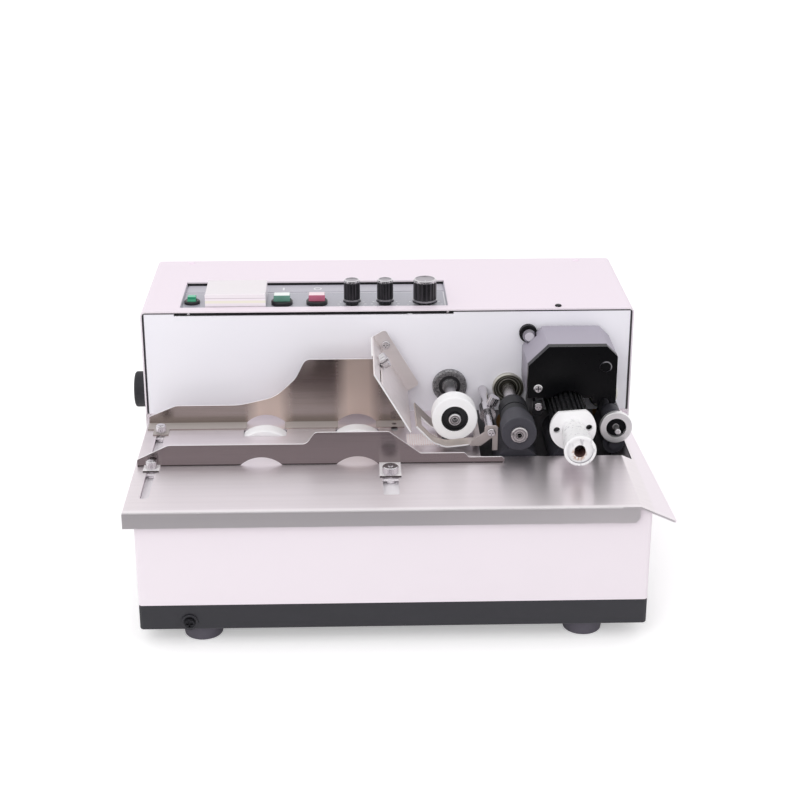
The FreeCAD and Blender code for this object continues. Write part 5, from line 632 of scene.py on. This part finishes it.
# %% Scuffed white enamel
def scuffed_enamel():
    """White enamel, scuffed and stained on the hub with painted shade in its mouth, clean on the disc behind
    it.
    """
    material, tree, principled = new_material("scuffed_white_enamel", Metallic=0.0, IOR=1.5, Roughness=0.35)
    set_pattern(tree, principled, grain(tree, 1.5), ("FFFFFF", "F6F4F7"), cloud=grain(tree, 7.0),
                roughness=(0.3, 0.42), depth_mm=0.02, strength=0.4)
    axis = centre_of("type_disc")
    disc_front, mouth = box_mm("type_disc")[0].y, box_mm("type_hub")[0].y
    hub = before(tree, "Y", disc_front - 1.0, disc_front - 0.5)
    streaks = grain(tree, 3.4, stretch=(0.7, 1, 2.6), detail=4.0)
    worn = add_node(tree, "ShaderNodeMapRange", inputs={"Value": streaks, "From Min": 0.56, "From Max": 0.72})
    paint_over(material, where_all(tree, hub, worn.outputs["Result"]), "C6C4C9", Roughness=0.5)
    # The wall inside the mouth is painted grey: painted shade.
    mouth_shade = where_all(tree, around(tree, axis, "Y", 6.0, 10.4),
                           elsewhere(tree, facing(tree, (0, -1, 0))),
                           before(tree, "Y", mouth + 2.3, mouth + 2.5))
    paint_over(material, mouth_shade, "A09EA4", Roughness=0.5)
    bore = around(tree, axis, "Y", 0.0, 4.2)
    blotches = add_node(tree, "ShaderNodeMapRange", inputs={
        "Value": grain(tree, 1.6), "From Min": 0.36, "From Max": 0.6})
    run_down = Vector((0.6, 0, 1.4)) * MM
    stain = where_all(tree, around(tree, axis - run_down, "Y", 0.0, 4.2, soft_mm=2.2),
                      blotches.outputs["Result"])
    paint_over(material, where_all(tree, hub, stain, elsewhere(tree, bore)), "C8A794")
    paint_over(material, where_all(tree, hub, bore), "3D2420", Roughness=0.8)
    return material


dress(scuffed_enamel(), "type_hub", "type_disc")

type_rubber = moulded("moulded_type_rubber", "0A0A0C", "101013", 0.5)
type_tree = type_rubber.node_tree
glyphs = add_node(type_tree, "ShaderNodeMapRange", inputs={
    "Value": grain(type_tree, 1.6, detail=0.0), "From Min": 0.55, "From Max": 0.6})
paint_over(type_rubber, glyphs.outputs["Result"], "2E2D31", Roughness=0.4)
dress(type_rubber, "type_drum")
print("type wheel enamelled; hub's mouth at y =", round(box_mm("type_hub")[0].y, 1), "mm")

# %% [markdown]
# ## Case screws
#
# The screws in the housing and the tray are blackened. The one in the ink head's bracket is bright, and
# the two at the back of the housing's top were painted over with it.

# %% Blackened screws
blackened = bright_steel("blackened_screws", "2C2C2F", 0.35)
screw_tree = blackened.node_tree
bracket_screw = where_all(screw_tree, past(screw_tree, "X", 60.0, 61.0),
                          between(screw_tree, "Z", 118.0, 180.0, 1.0))
top_rear_screws = where_all(screw_tree, past(screw_tree, "Z", 190.0, 191.0),
                            past(screw_tree, "Y", 100.0, 101.0))
paint_over(blackened, bracket_screw, "DAD7DA", Roughness=0.2)
paint_over(blackened, top_rear_screws, "F9ECF7", Roughness=0.42, Metallic=0.0)
dress(blackened, "case_screws")
print("case screws dressed")

# %% [markdown]
# ## Knobs
#
# Each knob is black phenolic with sixteen flutes, drawn as lighter stripes of painted highlight, a spun
# aluminium ring round its crown, a grey disc set in the ring, a thin ring above the skirt and a bright
# pointer line on the disc. All are zones of one finish, measured from the knob's own axis.

# %% Knobs with aluminium trim
def flutes_around(tree, centre, count):
    """Stripes along Z, count of them round an upright axis: the flutes' painted highlights."""
    place = add_node(tree, "ShaderNodeTexCoord")
    away = add_node(tree, "ShaderNodeVectorMath", {"operation": "SUBTRACT"},
                    {0: place.outputs["Object"], 1: centre})
    split = add_node(tree, "ShaderNodeSeparateXYZ", inputs={"Vector": away.outputs["Vector"]})
    angle = add_node(tree, "ShaderNodeMath", {"operation": "ARCTAN2"},
                     {0: split.outputs["Y"], 1: split.outputs["X"]})
    turns = add_node(tree, "ShaderNodeMath", {"operation": "MULTIPLY"}, {0: angle.outputs["Value"], 1: count})
    wave = add_node(tree, "ShaderNodeMath", {"operation": "SINE"}, {0: turns.outputs["Value"]})
    return add_node(tree, "ShaderNodeMapRange", inputs={
        "Value": wave.outputs["Value"], "From Min": 0.1, "From Max": 0.6}).outputs["Result"]


def knob_finish(node, flutes=16, trim_mm=2.4, pointer_mm=0.35, pointer_end_mm=3.0):
    """Fluted phenolic knob with its crown ring, disc, skirt ring and pointer."""
    low, high = box_mm(node)
    centre, middle, reach = centre_of(node), (low + high) / 2, (high.x - low.x) / 2
    material = moulded("phenolic_" + node, "0E0E11", "151519", 0.3)
    tree = material.node_tree
    up = facing(tree, (0, 0, 1))
    crown = past(tree, "Z", high.z - 2.2, high.z - 2.0)
    skirt_ring = between(tree, "Z", low.z + 1.4, low.z + 2.4, 0.2)
    paint_over(material, crown, "D9D7DA", Roughness=0.22, Metallic=1.0)
    disc = around(tree, centre, "Z", 0.0, reach - trim_mm)
    paint_over(material, where_all(tree, up, crown, disc), "B5B0B6", Roughness=0.4)
    paint_over(material, skirt_ring, "B9B7BB", Roughness=0.3, Metallic=1.0)
    wall = where_all(tree, elsewhere(tree, crown), elsewhere(tree, skirt_ring), elsewhere(tree, up))
    # The flutes are painted as lighter stripes: painted highlights.
    paint_over(material, where_all(tree, wall, flutes_around(tree, centre, flutes)), "333136")
    pointer = where_all(tree, up, between(tree, "X", middle.x - pointer_mm - 0.1, middle.x + pointer_mm, 0.1),
                        before(tree, "Y", middle.y - pointer_end_mm, middle.y - pointer_end_mm + 0.5))
    paint_over(material, pointer, "C9C7CB", Metallic=0.0, Roughness=0.4)
    return material


KNOBS = ("feed_knob", "heat_knob", "speed_knob")
for knob in KNOBS:
    dress(knob_finish(knob), knob)
print("three knobs, tallest to z =", round(box_mm("speed_knob")[1].z, 1), "mm")

# %% [markdown]
# ## Buttons, rocker and the clear lid
#
# The start and stop buttons are acrylic caps over a lamp. Light from above fills the top of a cap, which
# looks almost white, while its sides keep the colour. The power rocker is a fuller green. The counter
# sits under a milky lid with a faint pink cast; three lines along its front show its bends and window.

# %% Coloured and clear acrylic
for node, name, side, deep, top in (("start_button", "green_acrylic_cap", "6E9F90", "619080", "FBFFFE"),
                                    ("stop_button", "red_acrylic_cap", "C67089", "B5617A", "FFE9EF"),
                                    ("power_rocker", "green_rocker", "2E9B72", "2A8C68", "6FC9A6")):
    cap = moulded(name, side, deep, 0.2)
    paint_over(cap, facing(cap.node_tree, (0, 0, 1)), top)
    dress(cap, node)

milky_lid, lid_tree, lid_shader = new_material(
    "milky_acrylic_lid", "FFF8FD", Metallic=0.0, IOR=1.49, Roughness=0.12, Transmission_Weight=0.12)
set_pattern(lid_tree, lid_shader, grain(lid_tree, 6.0), depth_mm=0.01, strength=0.3)
lid_front = facing(lid_tree, (0, -1, 0))
for low_mm, high_mm, colour in ((196.4, 196.9, "D6CBD2"), (199.4, 201.6, "FBF7E8"), (203.2, 203.7, "D9CED5")):
    lid_line = between(lid_tree, "Z", low_mm, high_mm, 0.2)
    paint_over(milky_lid, where_all(lid_tree, lid_front, lid_line), colour)
dress(milky_lid, "counter_cover")
dress(moulded("moulded_abs_counter", "FFF8FB", "FAF0F5", 0.4), "counter_unit")
print("acrylic caps and lid dressed")

# %% [markdown]
# ## Control panel
#
# The panel is a mid-grey polycarbonate film on a sheet let into the housing. A paler band along its
# back carries the marks, a dark line of painted shade in the gap to the housing frames it at the back
# and the ends, and the strip along the housing's front edge is plain black.

# %% Panel film
panel_film = moulded("printed_polycarbonate_panel", "ABAAB5", "B6B4C0", 0.3, grain_mm=0.5, cloud_mm=40.0)
film_tree = panel_film.node_tree
panel_low, panel_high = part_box("control_panel")
front_strip = before(film_tree, "Y", 31.0, 32.0)
paint_over(panel_film, front_strip, "0E0E10", Roughness=0.5)
paint_over(panel_film, past(film_tree, "Y", 78.8, 79.2), "BEBBC6")
# The dark line at the back and the ends is painted shade in the gap to the housing.
for gap_shade in (past(film_tree, "Y", 97.5, 98.0), past(film_tree, "X", 48.0, 48.3),
               before(film_tree, "X", -165.4, -165.0)):
    paint_over(panel_film, where_all(film_tree, gap_shade, elsewhere(film_tree, front_strip)), "1C1C1F")
dress(panel_film, "control_panel")
print("panel dressed, y", round(panel_low.y / MM, 1), "to", round(panel_high.y / MM, 1), "mm")

# %% [markdown]
# ## Printing on the panel
#
# The panel's marks are screen-printed in white ink, a film far thinner than a hair. It is cut here as
# flat shapes that lie 0.03 mm above the film: bars, rings and numerals.

# %% Ink shapes
INK_LIFT = 0.03 * MM
panel_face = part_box("feed_knob")[0].z - 2.5 * MM


def add_bar(form, corners, height):
    """Flat quadrilateral from four plan corners."""
    form.faces.new([form.verts.new((x, y, height)) for x, y in corners])


def add_rectangle(form, left, front, right, back, height):
    add_bar(form, ((left, front), (right, front), (right, back), (left, back)), height)


def add_frame(form, low, high, width, height):
    """Rectangular frame."""
    x0, y0, x1, y1 = *low, *high
    for sides in ((x0, y0, x1, y0 + width), (x0, y1 - width, x1, y1),
                  (x0, y0 + width, x0 + width, y1 - width), (x1 - width, y0 + width, x1, y1 - width)):
        add_rectangle(form, *sides, height)


def circle(steps):
    """Cosine and sine of equal steps round a circle."""
    return [(math.cos(math.tau * i / steps), math.sin(math.tau * i / steps)) for i in range(steps)]


def bridge(form, near, far):
    """Faces between two closed rows of points."""
    for i in range(len(near)):
        j = (i + 1) % len(near)
        form.faces.new((near[i], near[j], far[j], far[i]))


def add_ring(form, centre, radius, width, height, steps=40):
    rims = [[form.verts.new((centre[0] + reach * cos, centre[1] + reach * sin, height))
             for cos, sin in circle(steps)] for reach in (radius, radius - width)]
    bridge(form, *rims)


def add_number(form, text, centre, size, height):
    """Flat numerals from Blender's own font."""
    curve = bpy.data.curves.new("numeral", "FONT")
    curve.body, curve.size, curve.align_x, curve.align_y = text, size, "CENTER", "CENTER"
    holder = bpy.data.objects.new("numeral", curve)
    mesh = bpy.data.meshes.new_from_object(holder)
    mesh.transform(Matrix.Translation((centre[0], centre[1], height)))
    form.from_mesh(mesh)
    bpy.data.objects.remove(holder)
    bpy.data.meshes.remove(mesh)
    bpy.data.curves.remove(curve)


def finish_piece(name, form, material, body):
    """Turn the bmesh into an object that rides on a body."""
    bmesh.ops.recalc_face_normals(form, faces=form.faces)
    mesh = bpy.data.meshes.new(name)
    form.to_mesh(mesh)
    form.free()
    mesh.materials.append(material)
    piece = add_object(name, mesh)
    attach(piece, body)
    return piece


print("ink lies at z =", round(panel_face / MM, 2), "mm")

# %% [markdown]
# ## What the panel says
#
# Round each knob stand eleven ticks, three of them longer and numbered. Five rising bars on the pale
# band stand for more, and the usual line and circle mark start and stop. The band lies 0.4 mm higher
# than the rest of the film. A frame runs round the lower field.

# %% Panel print
TICK_START, TICK_END, LONG_TICK_END, NUMBER_AT = 2.6 * MM, 4.4 * MM, 5.2 * MM, 7.6 * MM
TICK_HALF_WIDTH, NUMBER_SIZE = 0.55 * MM, 3.6 * MM
BAR_PITCH, BAR_WIDTH, BAR_FOOT, BAR_TOP, BAR_RISE = 2.2 * MM, 1.3 * MM, 85 * MM, 87 * MM, 1 * MM
MARK_FOOT, MARK_HEIGHT, LINE_WIDTH, RING_RADIUS, RING_WIDTH = 84 * MM, 7 * MM, 1.6 * MM, 3.4 * MM, 1.2 * MM
FIELD_FRONT, FIELD_BACK, FIELD_MARGIN, FIELD_LINE = 35 * MM, 78.5 * MM, 7 * MM, 1.1 * MM
BAND_LIFT = 0.4 * MM


def add_dial(form, node, height):
    """Eleven ticks over 300 degrees, with the ends and the middle numbered."""
    low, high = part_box(node)
    centre, reach = Vector(centre_of(node)[:2]), (high.x - low.x) / 2
    for i in range(11):
        angle = math.radians(240 - 30 * i)
        out = Vector((math.cos(angle), math.sin(angle)))
        side = Vector((-out.y, out.x)) * TICK_HALF_WIDTH
        numbered = i % 5 == 0
        start = centre + out * (reach + TICK_START)
        end = centre + out * (reach + (LONG_TICK_END if numbered else TICK_END))
        add_bar(form, (start - side, end - side, end + side, start + side), height)
        if numbered:
            add_number(form, str(i), centre + out * (reach + NUMBER_AT), NUMBER_SIZE, height)


def add_rising_bars(form, middle, height, count=5):
    for step in range(count):
        left = middle + (step - count / 2) * BAR_PITCH
        add_rectangle(form, left, BAR_FOOT, left + BAR_WIDTH, BAR_TOP + step * BAR_RISE, height)


def make_panel_print(ink):
    form = bmesh.new()
    height = panel_face + INK_LIFT
    band_height = height + BAND_LIFT
    left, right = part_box("power_rocker")[0].x - FIELD_MARGIN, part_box("speed_knob")[1].x + FIELD_MARGIN
    add_frame(form, (left, FIELD_FRONT), (right, FIELD_BACK), FIELD_LINE, height)
    for knob in KNOBS:
        add_dial(form, knob, height)
        add_rising_bars(form, centre_of(knob).x, band_height)
    line_left = centre_of("start_button").x - LINE_WIDTH / 2
    add_rectangle(form, line_left, MARK_FOOT, line_left + LINE_WIDTH, MARK_FOOT + MARK_HEIGHT, band_height)
    ring_centre = (centre_of("stop_button").x, MARK_FOOT + MARK_HEIGHT / 2)
    add_ring(form, ring_centre, RING_RADIUS, RING_WIDTH, band_height)
    return finish_piece("panel_print", form, ink, "machine")


white_ink, ink_tree, ink_shader = new_material("white_screen_ink", Metallic=0.0, IOR=1.5)
set_pattern(ink_tree, ink_shader, grain(ink_tree, 0.6), ("F4F3F6", "E6E5EA"), roughness=(0.45, 0.6))
print("panel print:", len(make_panel_print(white_ink).data.polygons), "flat shapes")

# %% [markdown]
# ## Counter wheels
#
# The counter shows five number wheels through its window. Only the top of each wheel stands in the
# window, so a wheel is a curved strip: two rows of points on a circle of 9 mm radius, bridged into
# faces and closed at the sides. The numerals are laid on the same circle, so they follow its curve.

# %% Counter wheels
WHEEL_RADIUS, WHEEL_PITCH, WHEEL_WIDTH, DIGIT_SIZE = 9.0 * MM, 6.6 * MM, 5.4 * MM, 6.0 * MM
WINDOW_FROM_FRONT, WHEEL_BELOW_TOP = 14.9 * MM, 0.12 * MM


def make_counter_wheels(count=5, arc_deg=52, steps=12):
    low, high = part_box("counter_unit")
    middle_x, middle_y = (low.x + high.x) / 2, low.y + WINDOW_FROM_FRONT
    axis_z = high.z - WHEEL_BELOW_TOP - WHEEL_RADIUS
    wheels, numerals = bmesh.new(), bmesh.new()
    arc = [math.radians(-arc_deg / 2 + arc_deg * i / steps) for i in range(steps + 1)]
    for wheel in range(count):
        centre_x = middle_x + (wheel - count // 2) * WHEEL_PITCH
        rims = []
        for x in (centre_x - WHEEL_WIDTH / 2, centre_x + WHEEL_WIDTH / 2):
            rims.append([wheels.verts.new((x, middle_y + WHEEL_RADIUS * math.sin(angle),
                                           axis_z + WHEEL_RADIUS * math.cos(angle))) for angle in arc])
        for i in range(steps):
            wheels.faces.new((rims[0][i], rims[1][i], rims[1][i + 1], rims[0][i + 1]))
        for rim in rims:
            wheels.faces.new(rim)
        first = len(numerals.verts)
        add_number(numerals, str((wheel * 3) % 10), (centre_x, middle_y), DIGIT_SIZE, 0.0)
        numerals.verts.ensure_lookup_table()
        for vert in numerals.verts[first:]:
            across = vert.co.y - middle_y
            vert.co.z = axis_z + math.sqrt((WHEEL_RADIUS + INK_LIFT) ** 2 - across ** 2)
    finish_piece("counter_wheels", wheels, phenolic, "machine")
    finish_piece("counter_numerals", numerals, white_ink, "machine")


make_counter_wheels()
print("counter wheels of", round(WHEEL_RADIUS / MM, 1), "mm radius")

# %% [markdown]
# ## Screws of the black strip
#
# Two small pan-head screws hold the strip near its ends. Each head is a turned profile, spun round its
# axis in steps, with a dimple in the middle for its recess.

# %% Small pan-head screws
HEAD_PROFILE = [(1.0, 0.0), (1.0, 0.35), (0.86, 0.7), (0.55, 0.93)]
DIMPLE_RISE = 0.72


def add_pan_screw(form, place, radius, rise, steps=24):
    """Dome facing -Y, closed at the back, with a dimple. Its profile is in shares of radius and rise."""
    rings = [[form.verts.new((place.x + radius * reach * cos, place.y - rise * lift,
                              place.z + radius * reach * sin)) for cos, sin in circle(steps)]
             for reach, lift in HEAD_PROFILE]
    for near, far in zip(rings, rings[1:]):
        bridge(form, near, far)
    dimple = form.verts.new((place.x, place.y - rise * DIMPLE_RISE, place.z))
    last = rings[-1]
    for i in range(steps):
        form.faces.new((last[i], last[(i + 1) % steps], dimple))
    form.faces.new(rings[0])


screws = bmesh.new()
strip_z = panel_high.z - 1.3 * MM
for screw_x in (panel_low.x + 12 * MM, panel_high.x - 5 * MM):
    add_pan_screw(screws, Vector((screw_x, panel_low.y + 0.1 * MM, strip_z)), 1.1 * MM, 0.8 * MM)
finish_piece("strip_screws", screws, nickel_plate, "machine")
print("two strip screws at z =", round(strip_z / MM, 1), "mm")

# %% [markdown]
# ## Floor
#
# A product photograph like this one is taken on white paper. The paper glows a little for the rays that
# are seen directly, in metal and through glass, so it stays white but keeps the machine's shadow.

# %% White floor
def seen_rays(tree):
    """1 for rays that show the surroundings: direct, mirrored and refracted."""
    ray = add_node(tree, "ShaderNodeLightPath").outputs
    pair = add_node(tree, "ShaderNodeMath", {"operation": "MAXIMUM"},
                    {0: ray["Is Camera Ray"], 1: ray["Is Glossy Ray"]})
    return add_node(tree, "ShaderNodeMath", {"operation": "MAXIMUM"},
                    {0: pair.outputs["Value"], 1: ray["Is Transmission Ray"]}).outputs["Value"]


def make_floor(half_width=6.0, glow=0.35):
    form = bmesh.new()
    bmesh.ops.create_grid(form, x_segments=1, y_segments=1, size=half_width)
    mesh = bpy.data.meshes.new("paper_floor")
    form.to_mesh(mesh)
    form.free()
    floor = add_object("paper_floor", mesh)
    material, tree, principled = new_material("white_paper_sweep", "F4F3F4", Metallic=0.0, Roughness=0.9)
    seen_glow = add_node(tree, "ShaderNodeMath", {"operation": "MULTIPLY"}, {0: seen_rays(tree), 1: glow})
    principled.inputs["Emission Color"].default_value = linear("FFFFFF")
    tree.links.new(seen_glow.outputs["Value"], principled.inputs["Emission Strength"])
    mesh.materials.append(material)


make_floor()
print("floor laid at z = 0")

# %% [markdown]
# ## Light
#
# Soft, even light comes from the world, at a strength where a colour comes out about as it is written,
# and one large lamp in front and to the left adds a gentle direction. Mirrors leave the lamp out,
# because its disc would burn out the polished guides.

# %% World and lamp
def make_world(strength):
    world = bpy.data.worlds.new("studio")
    bpy.context.scene.world = world
    world.use_nodes = True
    tree = world.node_tree
    tree.nodes.clear()
    white = linear("FFFFFF")
    light = add_node(tree, "ShaderNodeBackground", inputs={"Color": white, "Strength": strength})
    backdrop = add_node(tree, "ShaderNodeBackground", inputs={"Color": white, "Strength": 1.0})
    pick = add_node(tree, "ShaderNodeMixShader", inputs={
        0: seen_rays(tree), 1: light.outputs[0], 2: backdrop.outputs[0]})
    add_node(tree, "ShaderNodeOutputWorld", inputs={"Surface": pick.outputs[0]})


def make_lamp(width, watts):
    light = bpy.data.lights.new("soft_key", "AREA")
    light.shape, light.size, light.energy = "DISK", width, watts
    place, target = Vector((-0.6, -1.6, 1.3)), Vector((0, 0, 0.1))
    lamp = add_object("soft_key", light)
    lamp.location = place
    lamp.rotation_euler = (target - place).to_track_quat("-Z", "Y").to_euler()
    lamp.visible_glossy = False


ROOM_LIGHT, LAMP_WATTS = 0.84, 11.0
make_world(ROOM_LIGHT)
make_lamp(1.4, LAMP_WATTS)
print("world at", ROOM_LIGHT, "and one soft lamp of", LAMP_WATTS, "W")

# %% [markdown]
# ## Black cards
#
# Polished metal only shows what it mirrors. In an all-white room it would look like white paint, so a
# photographer lays black card on the operator's side, out of the picture: one sheet on the floor and
# one upright behind the camera. Only mirrored rays see the cards, so they neither show nor shade
# anything, and the upright steel turns grey while its top edges stay bright.

# %% Two black cards
CARD_HALF_WIDTH, CARD_FAR, CARD_NEAR, CARD_HEIGHT, CARD_LIFT = 1.6, -2.6, -0.30, 1.3, 0.002


def black_card(name, low_edge, high_edge):
    """Card between two edges along X, each given by its y and z."""
    mesh = bpy.data.meshes.new(name)
    left, right = -CARD_HALF_WIDTH, CARD_HALF_WIDTH
    mesh.from_pydata([(left, *low_edge), (right, *low_edge), (right, *high_edge), (left, *high_edge)], [],
                     [(0, 1, 2, 3)])
    card = add_object(name, mesh)
    mesh.materials.append(new_material(name, "3A383B", Metallic=0.0, Roughness=0.9)[0])
    card.visible_camera = card.visible_diffuse = card.visible_shadow = card.visible_transmission = False


black_card("black_card_floor", (CARD_FAR, CARD_LIFT), (CARD_NEAR, CARD_LIFT))
black_card("black_card_upright", (CARD_FAR, 0.0), (CARD_FAR, CARD_HEIGHT))
print("two black cards on the operator's side")

# %% [markdown]
# ## Camera
#
# The camera's place, turn and lens were fitted to the photograph: a 74 mm lens about 1.2 m in front of
# the machine, looking 22 degrees down and turned 1.6 degrees to the right.

# %% Camera
def make_camera():
    camera = bpy.data.cameras.new("camera")
    camera.sensor_width = 36.0
    camera.lens = 74.385
    camera.shift_x = 0.00215
    camera.shift_y = 0.0002
    look_down_deg, turn_deg = 21.744, -1.613
    holder = add_object("camera", camera)
    holder.location = (-26.811 * MM, -1215.009 * MM, 614.067 * MM)
    holder.rotation_euler = (math.radians(90 - look_down_deg), 0, math.radians(turn_deg))
    bpy.context.scene.camera = holder
    bpy.context.scene.view_settings.view_transform = "Standard"
    return camera


print("camera stands where the photograph was taken from, lens", round(make_camera().lens, 1), "mm")
